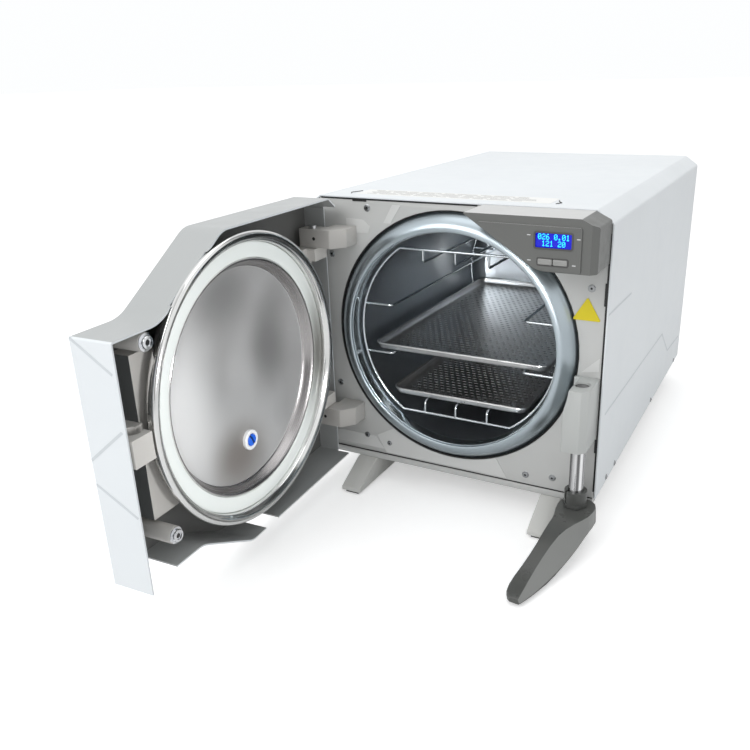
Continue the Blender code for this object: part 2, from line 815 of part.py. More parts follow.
def make_controls(root, select, confirm):
    fascia = plate("control_fascia", [fascia_outline()], FASCIA_Y, -GAP)
    x, z = DISPLAY_CENTRE
    half_x, half_z = (size / 2 for size in DISPLAY_SIZE)
    pocket_y = FASCIA_Y + POCKET_DEPTH
    middle = sum(BUTTON_XS) / 2
    slot_x = BUTTON_XS[1] - middle + BUTTON_SIZE[0] / 2 + GAP
    slot_z = BUTTON_SIZE[1] / 2 + GAP
    slot_y = FASCIA_Y + BUTTON_DEPTH
    edge = [(0.1715, -0.070), (0.1715, FASCIA_Y), (FASCIA_RIGHT_X, -0.0455), (0.190, -0.0455)]
    edge.append((0.190, -0.070))
    cut(
        fascia,
        plate("edge", [edge], 0.290, 0.370, "XY"),
        box("pocket", (x - half_x, -0.080, z - half_z), (x + half_x, pocket_y, z + half_z)),
        box(
            "slot",
            (middle - slot_x, -0.080, BUTTON_Z - slot_z),
            (middle + slot_x, slot_y, BUTTON_Z + slot_z),
        ),
        disc_clearance("disc_space", DISC_FRONT_Y - 0.0017, 0.010),
    )
    root.take(settle(fascia), "fascia_grey")
    window = box(
        "display_window",
        (x - half_x + GAP, FASCIA_Y + 0.0010, z - half_z + GAP),
        (x + half_x - GAP, pocket_y - GAP, z + half_z - GAP),
    )
    root.take(window, "display_blue")
    for name, body, centre in zip(("select", "confirm"), (select, confirm), BUTTON_XS):
        low = (centre - BUTTON_SIZE[0] / 2, FASCIA_Y - 0.0008, BUTTON_Z - BUTTON_SIZE[1] / 2)
        high = (centre + BUTTON_SIZE[0] / 2, slot_y - 0.0016, BUTTON_Z + BUTTON_SIZE[1] / 2)
        body.take(box(f"{name}_button", low, high), "fascia_grey")
    board = box("control_board", (0.126, 0.0060, 0.302), (0.172, 0.0076, 0.344))
    root.take(board, "board_green")
    root.take(box("door_switch", (0.160, 0.0060, 0.236), (0.172, 0.0200, 0.262)), "black_plastic")
    triangle = rounded([(0.1430, 0.2450, 0.001), (0.1730, 0.2450, 0.001), (0.1580, 0.2710, 0.001)])
    root.take(plate("warning_plate", [triangle], -0.0008, 0.0), "warning_yellow")


# Inside behind the chamber, and at the rear


def make_steam_works(root):
    generator = rod("steam_generator", (-0.110, 0.455, 0.046), (-0.110, 0.455, 0.166), 0.036)
    root.take(generator, "steel")
    route = [(-0.070, 0.455, 0.120), (-0.040, 0.455, 0.120), (-0.040, 0.455, 0.178)]
    root.take(wire("steam_pipe", route, 0.003), "brass")
    pump = box("vacuum_pump", (-0.030, 0.430, 0.046), (0.045, 0.490, 0.110))
    root.take(pump, "black_plastic")
    motor = rod("pump_motor", (0.0455, 0.460, 0.078), (0.105, 0.460, 0.078), 0.028)
    root.take(motor, "steel")
    condenser = box("condenser", (0.066, 0.446, 0.171), (0.144, 0.484, 0.249))
    for i in range(CONDENSER_SLOTS):
        z = 0.179 + i * 0.0125
        cut(condenser, box(f"fin_gap_{i}", (0.060, 0.440, z), (0.150, 0.470, z + 0.004)))
    root.take(settle(condenser), "steel")
    clean = box("clean_water_tank", (-0.168, 0.410, 0.264), (0.060, 0.512, 0.350))
    root.take(clean, "tank_plastic")
    waste = box("waste_water_tank", (-0.168, 0.410, 0.176), (-0.064, 0.512, 0.258))
    root.take(waste, "tank_plastic")
    valves = box("valve_block", (-0.056, 0.425, 0.182), (0.040, 0.485, 0.230))
    root.take(valves, "brass")
    safety = rod("safety_valve", (0.005, 0.4055, 0.243), (0.005, 0.470, 0.243), 0.009)
    root.take(safety, "brass")


def make_fan(root, rotor):
    half = FAN_SIDE / 2
    low = (FAN_X - half, FAN_FRAME_Y[0], FAN_Z - half)
    high = (FAN_X + half, FAN_FRAME_Y[1], FAN_Z + half)
    frame = box("fan_frame", low, high)
    cut(frame, rod("duct", (FAN_X, 0.48, FAN_Z), (FAN_X, 0.53, FAN_Z), 0.0375, 32))
    root.take(settle(frame), "black_plastic")
    hub_y = (FAN_FRAME_Y[0] + 0.004, FAN_FRAME_Y[1] - 0.004)
    fan = rod("fan_rotor", (FAN_X, hub_y[0], FAN_Z), (FAN_X, hub_y[1], FAN_Z), 0.013)
    middle = Matrix.Translation((FAN_X, sum(hub_y) / 2, FAN_Z))
    pitch = Matrix.Rotation(radians(40), 4, "Z")
    for i in range(FAN_BLADES):
        blade = box(f"blade_{i}", (-0.0012, -0.0075, 0.008), (0.0012, 0.0075, 0.0355))
        spoke = Matrix.Rotation(2 * pi * i / FAN_BLADES, 4, "Y")
        blade.matrix_world = middle @ spoke @ Matrix.Translation(blade.location) @ pitch
        join(fan, blade)
    rotor.take(settle(fan), "black_plastic")


def make_rear_fittings(root, rocker, tap):
    inlet = box("power_inlet", (-0.1557, 0.500, 0.0558), (-0.1243, 0.5245, 0.0842))
    cut(inlet, box("socket", (-0.1520, 0.510, 0.0600), (-0.1280, 0.530, 0.0800)))
    root.take(settle(inlet), "black_plastic")
    frame = box("switch_frame", (-0.1007, 0.505, 0.0588), (-0.0793, 0.5245, 0.0812))
    cut(frame, box("well", (-0.0980, 0.510, 0.0605), (-0.0820, 0.530, 0.0795)))
    root.take(settle(frame), "black_plastic")
    profile = [(0.5120, 0.0640), (0.5250, 0.0635), (0.5240, 0.0700), (0.5270, 0.0765)]
    profile.append((0.5120, 0.0760))
    key = plate("mains_switch", [profile], -0.0975, -0.0825, "YZ")
    rocker.take(key, "black_plastic")

    body = rod("drain_tap_body", (TAP_X, 0.505, TAP_Z), (TAP_X, 0.5400, TAP_Z), 0.008)
    cut(body, rod("bore", (TAP_X, 0.525, TAP_Z), (TAP_X, 0.560, TAP_Z), 0.004))
    root.take(settle(body), "brass")
    low = (TAP_X - 0.005, TAP_PIVOT_Y - 0.005, TAP_Z + 0.0085)
    high = (TAP_X + 0.005, TAP_PIVOT_Y + 0.010, TAP_Z + 0.0125)
    tap.take(box("drain_tap_handle", low, high), "warning_yellow")
    filter_body = rod("air_filter", (0.120, 0.470, 0.315), (0.120, 0.5350, 0.315), 0.015)
    root.take(filter_body, "white_plastic")


def main():
    root = Body("autoclave")
    hinge = (HINGE_X, HINGE_Y, 0.0)
    lock_axis = (LOCK_X, LOCK_Y, 0.0)
    door = Body("door_pivot", hinge, root, -REST_OPEN)
    slider = Body("lock_slide", lock_axis, root)
    lever = Body("lever_pivot", lock_axis, slider, LEVER_YAW)
    select = Body("select_slide", (BUTTON_XS[0], FASCIA_Y, BUTTON_Z), root)
    confirm = Body("confirm_slide", (BUTTON_XS[1], FASCIA_Y, BUTTON_Z), root)
    fan_axis = Body("fan_axis", (FAN_X, 0.506, FAN_Z), root)
    rocker = Body("rocker_pivot", (-0.090, 0.5165, 0.070), root)
    tap = Body("tap_pivot", (TAP_X, TAP_PIVOT_Y, TAP_Z), root)
    upper = Body("upper_tray_slide", (BORE_X, 0.0, 0.174), root)
    lower = Body("lower_tray_slide", (BORE_X, 0.0, 0.118), root)

    make_casing(root)
    make_feet(root)
    make_chamber(root)
    make_rack(root)
    make_tray(upper, "upper_tray", UPPER_TRAY_HALF_WIDTH, SIDE_RAIL_DROP)
    make_tray(lower, "lower_tray", LOWER_TRAY_HALF_WIDTH, FLOOR_RAIL_DROP)
    make_hinges(root)
    make_door_cover(door)
    make_door_arm(door)
    make_door_disc(door)
    make_lock_block(root)
    make_lock_rod(slider)
    make_lock_lever(lever)
    make_controls(root, select, confirm)
    make_steam_works(root)
    make_fan(root, fan_axis)
    make_rear_fittings(root, rocker, tap)


clear_scene()
PARTS = collection("benchtop_autoclave")
CUTTERS = collection("cutters")
main()
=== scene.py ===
"""Looks for the benchtop autoclave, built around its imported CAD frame.

Shapes are laid out in machine coordinates: X to the right, Y into the machine, the casing's front
edge at Y = 0, the casing centred on X = 0 and the bench at Z = 0.  The door's pieces are laid out
as if the door were shut and the lever's pieces round the rod's axis, and each set is then turned
to its rest position.
"""

import json
from math import atan2, ceil, cos, pi, radians, sin, tan

import bmesh
import bpy
from mathutils import Matrix, Vector


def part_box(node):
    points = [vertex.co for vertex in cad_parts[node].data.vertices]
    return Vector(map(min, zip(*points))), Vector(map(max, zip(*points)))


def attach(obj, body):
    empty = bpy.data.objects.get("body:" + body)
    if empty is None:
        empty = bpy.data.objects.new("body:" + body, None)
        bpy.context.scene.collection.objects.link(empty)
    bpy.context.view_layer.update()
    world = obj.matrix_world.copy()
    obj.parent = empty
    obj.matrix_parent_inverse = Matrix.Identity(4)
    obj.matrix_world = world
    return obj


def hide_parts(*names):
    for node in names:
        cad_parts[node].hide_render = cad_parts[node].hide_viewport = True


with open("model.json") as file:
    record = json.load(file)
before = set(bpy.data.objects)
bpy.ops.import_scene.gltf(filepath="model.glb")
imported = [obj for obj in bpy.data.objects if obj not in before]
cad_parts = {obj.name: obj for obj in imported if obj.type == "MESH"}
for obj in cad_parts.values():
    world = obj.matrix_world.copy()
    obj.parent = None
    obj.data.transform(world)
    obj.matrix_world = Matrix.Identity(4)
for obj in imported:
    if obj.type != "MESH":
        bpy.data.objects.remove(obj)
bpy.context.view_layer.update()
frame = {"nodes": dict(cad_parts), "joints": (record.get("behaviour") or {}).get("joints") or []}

# Places taken from the frame
CASING_LOW, CASING_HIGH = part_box("casing_cover")
ORIGIN = Vector(((CASING_LOW.x + CASING_HIGH.x) / 2, CASING_LOW.y, 0.0))
SIDE_X = CASING_HIGH.x - ORIGIN.x
TOP_Z = CASING_HIGH.z
BASE_Z = CASING_LOW.z
DEPTH = CASING_HIGH.y - CASING_LOW.y
FLANGE_LOW, FLANGE_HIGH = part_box("chamber_flange")
BORE_X = (FLANGE_LOW.x + FLANGE_HIGH.x) / 2 - ORIGIN.x
BORE_Z = (FLANGE_LOW.z + FLANGE_HIGH.z) / 2
FLANGE_R = (FLANGE_HIGH.x - FLANGE_LOW.x) / 2
FLANGE_NOSE_Y = FLANGE_LOW.y - ORIGIN.y
JOINTS = {joint["name"]: joint for joint in frame["joints"]}
HINGE = Vector(JOINTS["door_hinge"]["pos_m"]) - ORIGIN
REST_OPEN = radians(JOINTS["door_hinge"]["range_deg"][1])
LOCK = Vector(JOINTS["lever_turn"]["pos_m"]) - ORIGIN
FASCIA_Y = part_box("control_fascia")[0].y - ORIGIN.y

LEVER_YAW = radians(-5.5)
BORE_R = 0.125

CABINET_PLACE = Matrix.Translation(ORIGIN)
DOOR_PLACE = (
    CABINET_PLACE
    @ Matrix.Translation(HINGE)
    @ Matrix.Rotation(-REST_OPEN, 4, "Z")
    @ Matrix.Translation(-HINGE)
)
LEVER_PLACE = (
    CABINET_PLACE
    @ Matrix.Translation((LOCK.x, LOCK.y, 0.0))
    @ Matrix.Rotation(LEVER_YAW, 4, "Z")
)
PLACES = {"door": DOOR_PLACE, "lever": LEVER_PLACE}


def machine_box(node):
    """A CAD node's lowest and highest corners in machine coordinates."""
    return [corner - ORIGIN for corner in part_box(node)]


# Outlines


def arc(centre, radius, start, end, steps):
    """Points on an arc, both ends included, with angles in radians."""
    angles = [start + (end - start) * i / steps for i in range(steps + 1)]
    return [(centre[0] + radius * cos(a), centre[1] + radius * sin(a)) for a in angles]


def circle(centre, radius, sides):
    return arc(centre, radius, 0.0, 2 * pi, sides)[:-1]


def corner_arc(before, here, after, radius, step=radians(6)):
    """The tangent arc that replaces a corner."""
    here = Vector(here)
    back = (Vector(before) - here).normalized()
    ahead = (Vector(after) - here).normalized()
    half = back.angle(ahead) / 2
    centre = here + (back + ahead).normalized() * radius / sin(half)
    first = here + back * radius / tan(half) - centre
    last = here + ahead * radius / tan(half) - centre
    start = atan2(first.y, first.x)
    sweep = (atan2(last.y, last.x) - start + pi) % (2 * pi) - pi
    return arc(centre, radius, start, start + sweep, max(2, ceil(abs(sweep) / step)))


def rounded(corners):
    """A closed outline from (x, y, radius) corners, each replaced by a tangent arc."""
    outline = []
    for i, (x, y, radius) in enumerate(corners):
        if radius == 0.0:
            outline.append((x, y))
            continue
        after = corners[(i + 1) % len(corners)]
        outline += corner_arc(corners[i - 1][:2], (x, y), after[:2], radius)
    return outline


def folded(points, radius):
    """An open path whose inner corners are replaced by tangent arcs."""
    path = [points[0]]
    for i in range(1, len(points) - 1):
        path += corner_arc(points[i - 1], points[i], points[i + 1], radius)
    return path + [points[-1]]


def inset(outline, distance):
    """An anticlockwise outline moved inwards by a constant distance."""
    moved = []
    for i, point in enumerate(outline):
        here = Vector(point)
        back = (here - Vector(outline[i - 1])).normalized()
        ahead = (Vector(outline[(i + 1) % len(outline)]) - here).normalized()
        normals = [Vector((-side.y, side.x)) for side in (back, ahead)]
        middle = (normals[0] + normals[1]).normalized()
        moved.append(tuple(here + middle * distance / middle.dot(normals[0])))
    return moved


def rectangle(low, high, radius=0.0):
    """An anticlockwise rectangle with equal corners."""
    corners = [(low[0], low[1]), (high[0], low[1]), (high[0], high[1]), (low[0], high[1])]
    return rounded([(x, y, radius) for x, y in corners])


def stroke(points, width):
    """The outline of a line of even width along a path on a plane."""
    left, right = [], []
    for i, point in enumerate(points):
        here = Vector(point)
        before = Vector(points[max(0, i - 1)])
        after = Vector(points[min(len(points) - 1, i + 1)])
        along = (after - before).normalized()
        across = Vector((-along.y, along.x)) * width / 2
        left.append(tuple(here + across))
        right.append(tuple(here - across))
    return left + right[::-1]


def softened(points, radius):
    """An open path in space whose corners are replaced by short arcs."""
    path = [Vector(points[0])]
    for before, point, after in zip(points, points[1:], points[2:]):
        here = Vector(point)
        back = (Vector(before) - here).normalized()
        ahead = (Vector(after) - here).normalized()
        half = back.angle(ahead) / 2
        if half > radians(84):
            path.append(here)
            continue
        centre = here + (back + ahead).normalized() * radius / sin(half)
        start = here + back * radius / tan(half) - centre
        end = here + ahead * radius / tan(half) - centre
        path += [centre + start.slerp(end, k / 6) * radius for k in range(7)]
    return path + [Vector(points[-1])]


# Meshes


def linked(name, data):
    """A new object in the scene that holds a mesh, a curve, a lamp or a camera."""
    obj = bpy.data.objects.new(name, data)
    bpy.context.scene.collection.objects.link(obj)
    return obj


def shade(mesh, angle=35):
    """Smooth shading that stops at edges sharper than an angle in degrees."""
    mesh.shade_smooth()
    mesh.set_sharp_from_angle(angle=radians(angle))


def mesh_object(name, bm, smooth=True):
    mesh = bpy.data.meshes.new(name)
    bmesh.ops.recalc_face_normals(bm, faces=bm.faces)
    bm.to_mesh(mesh)
    bm.free()
    if smooth:
        shade(mesh)
    return linked(name, mesh)


def evaluated_mesh(obj):
    """A new mesh of the object as its curve settings and modifiers leave it."""
    bpy.context.view_layer.update()
    depsgraph = bpy.context.evaluated_depsgraph_get()
    return bpy.data.meshes.new_from_object(obj.evaluated_get(depsgraph))


def applied(obj):
    """Make the object's modifiers part of its mesh."""
    mesh = evaluated_mesh(obj)
    obj.modifiers.clear()
    obj.data = mesh
    return obj


def add_turned(bm, origin, axis, profile, sides, closed=False, material=0):
    """Add a surface turned about an axis from (radius, height) points, with its ends capped."""
    axis = Vector(axis).normalized()
    side = axis.orthogonal().normalized()
    other = axis.cross(side)
    rings = []
    for radius, height in profile:
        middle = Vector(origin) + axis * height
        if radius == 0.0:
            rings.append([bm.verts.new(middle)])
            continue
        angles = [2 * pi * i / sides for i in range(sides)]
        offsets = [side * cos(a) * radius + other * sin(a) * radius for a in angles]
        rings.append([bm.verts.new(middle + offset) for offset in offsets])
    pairs = list(zip(rings, rings[1:]))
    if closed:
        pairs.append((rings[-1], rings[0]))
    for low, high in pairs:
        for i in range(sides):
            j = (i + 1) % sides
            corners = [low[i % len(low)], low[j % len(low)], high[j % len(high)], high[i % len(high)]]
            corners = list(dict.fromkeys(corners))
            if len(corners) > 2:
                bm.faces.new(corners).material_index = material
    if not closed:
        for ring in (rings[0], rings[-1]):
            if len(ring) > 1:
                bm.faces.new(ring).material_index = material


def turned(name, profile, centre=(BORE_X, BORE_Z), steps=160):
    """A closed turned piece about an axis along Y, from (radius, y) points."""
    bm = bmesh.new()
    on_axis = profile[0][0] == 0.0 and profile[-1][0] == 0.0
    add_turned(bm, (centre[0], 0.0, centre[1]), (0, 1, 0), profile, steps, closed=not on_axis)
    return mesh_object(name, bm)


def rod(name, start, end, radius, sides=48, edge=0.0005):
    """A round bar with small chamfers."""
    start, end = Vector(start), Vector(end)
    length = (end - start).length
    profile = [(radius - edge, 0.0), (radius, edge), (radius, length - edge), (radius - edge, length)]
    bm = bmesh.new()
    add_turned(bm, start, end - start, profile, sides)
    return mesh_object(name, bm)


def welded_curve(curve, paths):
    """Points along (points, closed) paths made into a mesh with the curve's settings."""
    for points, closed in paths:
        spline = curve.splines.new("POLY")
        spline.points.add(len(points) - 1)
        spline.use_cyclic_u = closed
        for point, spot in zip(spline.points, points):
            point.co = (*spot, 1.0)
    holder = linked(curve.name + "_curve", curve)
    mesh = evaluated_mesh(holder)
    bpy.data.objects.remove(holder)
    bm = bmesh.new()
    bm.from_mesh(mesh)
    bpy.data.meshes.remove(mesh)
    bmesh.ops.remove_doubles(bm, verts=bm.verts, dist=1e-6)
    return bm


UPRIGHT = Matrix.Rotation(pi / 2, 4, "X")
PLANES = {
    # how a flat outline is turned onto each plane, and the direction of its thickness
    "XZ": (UPRIGHT, (0, 1, 0)),
    "XY": (Matrix.Identity(4), (0, 0, 1)),
    "YZ": (Matrix.Rotation(pi / 2, 4, "Z") @ UPRIGHT, (1, 0, 0)),
}


def plate(name, outlines, low, high, plane="XZ"):
    """A flat outline, with its holes, made solid between two positions on the third axis."""
    curve = bpy.data.curves.new(name, "CURVE")
    curve.dimensions = "2D"
    curve.fill_mode = "BOTH"
    curve.extrude = (high - low) / 2
    bm = welded_curve(curve, [([(u, v, 0.0) for u, v in outline], True) for outline in outlines])
    bmesh.ops.dissolve_limit(bm, angle_limit=radians(0.5), verts=bm.verts, edges=bm.edges)
    turn, across = PLANES[plane]
    middle = Vector(across) * ((high + low) / 2)
    bmesh.ops.transform(bm, matrix=Matrix.Translation(middle) @ turn, verts=bm.verts)
    return mesh_object(name, bm)


def wires(name, paths, radius):
    """Round bars along (points, closed) paths, in one object."""
    curve = bpy.data.curves.new(name, "CURVE")
    curve.dimensions = "3D"
    curve.bevel_depth = radius
    curve.bevel_resolution = 4
    curve.use_fill_caps = True
    return mesh_object(name, welded_curve(curve, paths))


def box(name, low, high):
    bm = bmesh.new()
    low, high = Vector(low), Vector(high)
    bmesh.ops.create_cube(bm, size=1.0)
    bmesh.ops.scale(bm, vec=high - low, verts=bm.verts)
    bmesh.ops.translate(bm, vec=(low + high) / 2, verts=bm.verts)
    return mesh_object(name, bm)


def boolean(obj, operation, others):
    """Cut or join other objects, which are used up."""
    for other in others:
        change = obj.modifiers.new("boolean", "BOOLEAN")
        change.operation = operation
        change.object = other
    applied(obj)
    for other in others:
        bpy.data.objects.remove(other)
    return obj


def cut(obj, *others):
    return boolean(obj, "DIFFERENCE", others)


def join(obj, *others):
    return boolean(obj, "UNION", others)


def merged(name, *pieces):
    """Several objects as one object with separate bodies."""
    bm = bmesh.new()
    for piece in pieces:
        bm.from_mesh(piece.data)
        bpy.data.objects.remove(piece)
    return mesh_object(name, bm)


def bevel(obj, width, segments=2, angle=32):
    """Rounded edges with even shading on the flat faces."""
    change = obj.modifiers.new("bevel", "BEVEL")
    change.width = width
    change.segments = segments
    change.limit_method = "ANGLE"
    change.angle_limit = radians(angle)
    change.harden_normals = True
    return obj


def sort_faces(obj, finish_of):
    """Give every face the finish whose number a rule returns for it."""
    for face in obj.data.polygons:
        face.material_index = finish_of(face)


# Pieces and their bodies


def place(obj, body, materials, replaces=()):
    """Move a piece laid out in machine coordinates to its body and give it its finish."""
    obj.data.transform(PLACES.get(body, CABINET_PLACE))
    obj.data.update()
    for material in materials if isinstance(materials, list) else [materials]:
        obj.data.materials.append(material)
    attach(obj, body)
    if replaces:
        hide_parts(*replaces)


def finish_node(name, material, edge=0.0008):
    """Round a CAD node's edges without touching its mesh, and give it its finish."""
    obj = frame["nodes"][name]
    obj.data.materials.clear()
    obj.data.materials.append(material)
    obj.data.shade_smooth()
    weld = obj.modifiers.new("weld", "WELD")
    weld.merge_threshold = 1e-5
    flats = obj.modifiers.new("flats", "DECIMATE")
    flats.decimate_type = "DISSOLVE"
    flats.angle_limit = radians(1)
    bevel(obj, edge)


# Materials


class Nodes:
    """A node tree with short ways to add to it."""

    def __init__(self, tree):
        self.nodes = tree.nodes
        self.links = tree.links

    def feed(self, socket, value):
        """Link an input to another node's output, or set its value."""
        if isinstance(value, bpy.types.NodeSocket):
            self.links.new(value, socket)
        else:
            socket.default_value = value

    def add(self, kind, inputs=None, **settings):
        """Add a node, with its settings and then its inputs."""
        node = self.nodes.new("ShaderNode" + kind)
        for name, value in settings.items():
            setattr(node, name, value)
        for name, value in (inputs or {}).items():
            self.feed(node.inputs[name], value)
        return node

    def ramp(self, value, stops, tint=(1.0, 1.0, 1.0)):
        """A tinted grey that follows (position, level) stops, the first at 0 and the last at 1."""
        node = self.add("ValToRGB", {"Fac": value})
        ramp = node.color_ramp.elements
        for position, _ in stops[1:-1]:
            ramp.new(position)
        for stop, (_, level) in zip(ramp, stops):
            stop.color = (level * tint[0], level * tint[1], level * tint[2], 1.0)
        return node.outputs["Color"]


class Shader(Nodes):
    """A Principled material with short ways to add procedural detail."""

    def __init__(self, name, colour, roughness, metallic=0.0):
        self.material = bpy.data.materials.new(name)
        self.material.use_nodes = True
        self.material.diffuse_color = (*colour, 1.0)
        super().__init__(self.material.node_tree)
        self.main = self.nodes["Principled BSDF"]
        self.set("Base Color", (*colour, 1.0))
        self.set("Roughness", roughness)
        self.set("Metallic", metallic)
        self.position = self.add("TexCoord").outputs["Object"]
        self.roughness = roughness

    def set(self, name, value):
        """Link or set an input of the Principled node."""
        self.feed(self.main.inputs[name], value)

    def noise(self, scale, detail=2.0, stretch=(1.0, 1.0, 1.0)):
        """A noise value in space; the scale is in cycles per metre."""
        mapping = self.add("Mapping", {"Scale": stretch, "Vector": self.position})
        inputs = {"Scale": scale, "Detail": detail, "Vector": mapping.outputs["Vector"]}
        return self.add("TexNoise", inputs).outputs["Fac"]

    def vector(self, operation, first, second=(0.0, 0.0, 0.0)):
        """One step of vector arithmetic; the length of a vector comes back as a number."""
        node = self.add("VectorMath", {0: first, 1: second}, operation=operation)
        return node.outputs["Value" if operation == "LENGTH" else "Vector"]

    def rings(self, centre, axis, scale):
        """A noise value that depends only on the distance from an axis, as turning marks do."""
        away = self.vector("SUBTRACT", self.position, centre)
        distance = self.vector("LENGTH", self.vector("CROSS_PRODUCT", away, axis))
        inputs = {"Scale": scale, "Detail": 3.0, "W": distance}
        return self.add("TexNoise", inputs, noise_dimensions="1D").outputs["Fac"]

    def spread(self, value, low, high, edges=(0.3, 0.7), **settings):
        """Map a value from between two edges to a range."""
        inputs = {"Value": value, "From Min": edges[0], "From Max": edges[1]}
        inputs.update({"To Min": low, "To Max": high})
        return self.add("MapRange", inputs, **settings).outputs["Result"]

    def blob(self, centre, stretch):
        """One at a point, falling smoothly to nothing at the edge of an ellipsoid round it."""
        away = self.vector("SUBTRACT", self.position, centre)
        distance = self.vector("LENGTH", self.vector("DIVIDE", away, stretch))
        return self.spread(distance, 1.0, 0.0, (0.0, 1.0), interpolation_type="SMOOTHERSTEP")

    def tint(self, value, other):
        """Blend whatever colour is in place towards another one by a value from 0 to 1."""
        socket = self.main.inputs["Base Color"]
        before = socket.links[0].from_socket if socket.links else socket.default_value
        inputs = {"A": before, "B": (*other, 1.0), "Factor": value}
        self.set("Base Color", self.add("Mix", inputs, data_type="RGBA").outputs["Result"])

    def vary_colour(self, value, other, edges=(0.3, 0.7)):
        """Blend towards another colour where a noise value passes between two edges."""
        self.tint(self.spread(value, 0.0, 1.0, edges), other)

    def vary_roughness(self, value, amount):
        self.set("Roughness", self.spread(value, self.roughness - amount, self.roughness + amount))

    def bump(self, value, distance):
        node = self.add("Bump", {"Height": value, "Distance": distance, "Strength": 1.0})
        self.set("Normal", node.outputs["Normal"])


def tinted(colour, factor):
    return tuple(min(1.0, channel * factor) for channel in colour)


def painted(name, colour, roughness, grain=0.00003):
    """Powder coat or satin paint: fine orange peel and slightly uneven gloss."""
    shader = Shader(name, colour, roughness)
    shader.vary_colour(shader.noise(7.0), tinted(colour, 0.965))
    shader.vary_roughness(shader.noise(45.0, 3.0), 0.05)
    shader.bump(shader.noise(1500.0), grain)
    return shader.material


def moulded(name, colour, roughness, grain=0.00005):
    """Moulded plastic with a fine spark-eroded grain."""
    shader = Shader(name, colour, roughness)
    shader.vary_colour(shader.noise(12.0), tinted(colour, 0.93))
    shader.vary_roughness(shader.noise(90.0, 3.0), 0.06)
    shader.bump(shader.noise(2600.0, 3.0), grain)
    return shader.material


def steel(name, colour, roughness, stretch=(1.0, 1.0, 1.0), grain=0.00002):
    """Metal with drawn marks along one direction."""
    shader = Shader(name, colour, roughness, 1.0)
    shader.vary_colour(shader.noise(16.0, 3.0), tinted(colour, 0.86))
    shader.vary_roughness(shader.noise(60.0, 4.0, stretch), 0.06)
    shader.bump(shader.noise(900.0, 3.0, stretch), grain)
    return shader.material


def turned_steel(name, colour, roughness, centre, axis):
    """Steel with concentric turning marks."""
    shader = Shader(name, colour, roughness, 1.0)
    shader.vary_colour(shader.noise(5.0, 0.0), tinted(colour, 0.94))
    shader.vary_roughness(shader.rings(centre, axis, 500.0), 0.015)
    return shader.material


DISH_REFLECTIONS = (
    # x, z, half-width, half-height, colour; painted reflections, soft light and dark patches, laid out
    # as if the door were shut
    (0.100, 0.200, 0.085, 0.150, (1.0, 1.0, 1.0)),
    (0.020, 0.290, 0.070, 0.055, (0.33, 0.33, 0.33)),
    (-0.050, 0.222, 0.055, 0.085, (0.30, 0.30, 0.30)),
    (0.020, 0.118, 0.070, 0.055, (0.27, 0.25, 0.235)),
    (0.005, 0.200, 0.040, 0.050, (0.62, 0.62, 0.62)),
)
HINGE_SHADE = (-0.150, 0.185, 0.105, 0.135)
DISC_FACE_Y = -0.02
BLOB_DEPTH = 0.1


def door_blob(shader, x, z, half_width, half_height):
    """A soft spot on the door's disc; its half-width runs along the open door."""
    centre = DOOR_PLACE @ Vector((x, DISC_FACE_Y, z))
    return shader.blob(centre, (BLOB_DEPTH, half_width, half_height))


def dished_steel(name):
    """The pressed dish: satin metal with painted reflections, soft light and dark patches, in its
    colour.
    """
    shader = Shader(name, (0.50, 0.50, 0.50), 0.34, 0.50)
    shader.vary_colour(shader.noise(14.0, 0.6), (0.58, 0.58, 0.58), (0.40, 0.60))
    for x, z, half_width, half_height, colour in DISH_REFLECTIONS:
        shader.tint(door_blob(shader, x, z, half_width, half_height), colour)
    shader.vary_roughness(shader.noise(25.0), 0.04)
    return shader.material


def glossy_silicone(name, colour):
    """Smooth moulded silicone, with painted shade that darkens it towards the hinges."""
    shader = Shader(name, colour, 0.20, 0.10)
    shader.vary_colour(shader.noise(20.0), tinted(colour, 0.97))
    shader.tint(door_blob(shader, *HINGE_SHADE), (0.13, 0.125, 0.11))
    shader.vary_roughness(shader.noise(60.0), 0.03)
    shader.bump(shader.noise(700.0), 0.000006)
    return shader.material


CHROME_REFLECTIONS = (
    # position across the bar as the camera sees it, brightness of the painted reflection there
    (0.00, 0.10),
    (0.12, 0.62),
    (0.30, 0.80),
    (0.40, 0.16),
    (0.52, 0.20),
    (0.60, 0.95),
    (0.74, 0.90),
    (0.80, 0.22),
    (0.92, 0.50),
    (1.00, 0.06),
)


def reflection_painted_chrome(name):
    """A polished round bar with painted reflections: light and dark bands that follow the view."""
    shader = Shader(name, (0.82, 0.83, 0.85), 0.08, 0.75)
    normal = shader.add("NewGeometry").outputs["Normal"]
    turns = {"vector_type": "NORMAL", "convert_from": "WORLD", "convert_to": "CAMERA"}
    turn = shader.add("VectorTransform", {"Vector": normal}, **turns)
    across = shader.add("SeparateXYZ", {"Vector": turn.outputs["Vector"]}).outputs["X"]
    position = shader.spread(across, 0.0, 1.0, (-1.0, 1.0))
    shader.set("Base Color", shader.ramp(position, CHROME_REFLECTIONS, (1.0, 1.0, 1.01)))
    shader.vary_roughness(shader.noise(60.0), 0.02)
    return shader.material


def top_lit_moulding(name, colour, top_light_colour, roughness):
    """Moulded plastic with painted light that makes its level top surfaces paler."""
    shader = Shader(name, colour, roughness)
    normal = shader.add("NewGeometry").outputs["True Normal"]
    upward = shader.add("SeparateXYZ", {"Vector": normal}).outputs["Z"]
    shader.vary_colour(upward, top_light_colour, (0.93, 0.99))
    shader.vary_roughness(shader.noise(90.0, 3.0), 0.05)
    shader.bump(shader.noise(2600.0, 3.0), 0.00004)
    return shader.material


def glowing(name, colour, strength):
    """A lit display surface."""
    shader = Shader(name, colour, 0.25)
    shader.vary_roughness(shader.noise(200.0), 0.03)
    shader.set("Emission Color", (*colour, 1.0))
    shader.set("Emission Strength", strength)
    return shader.material


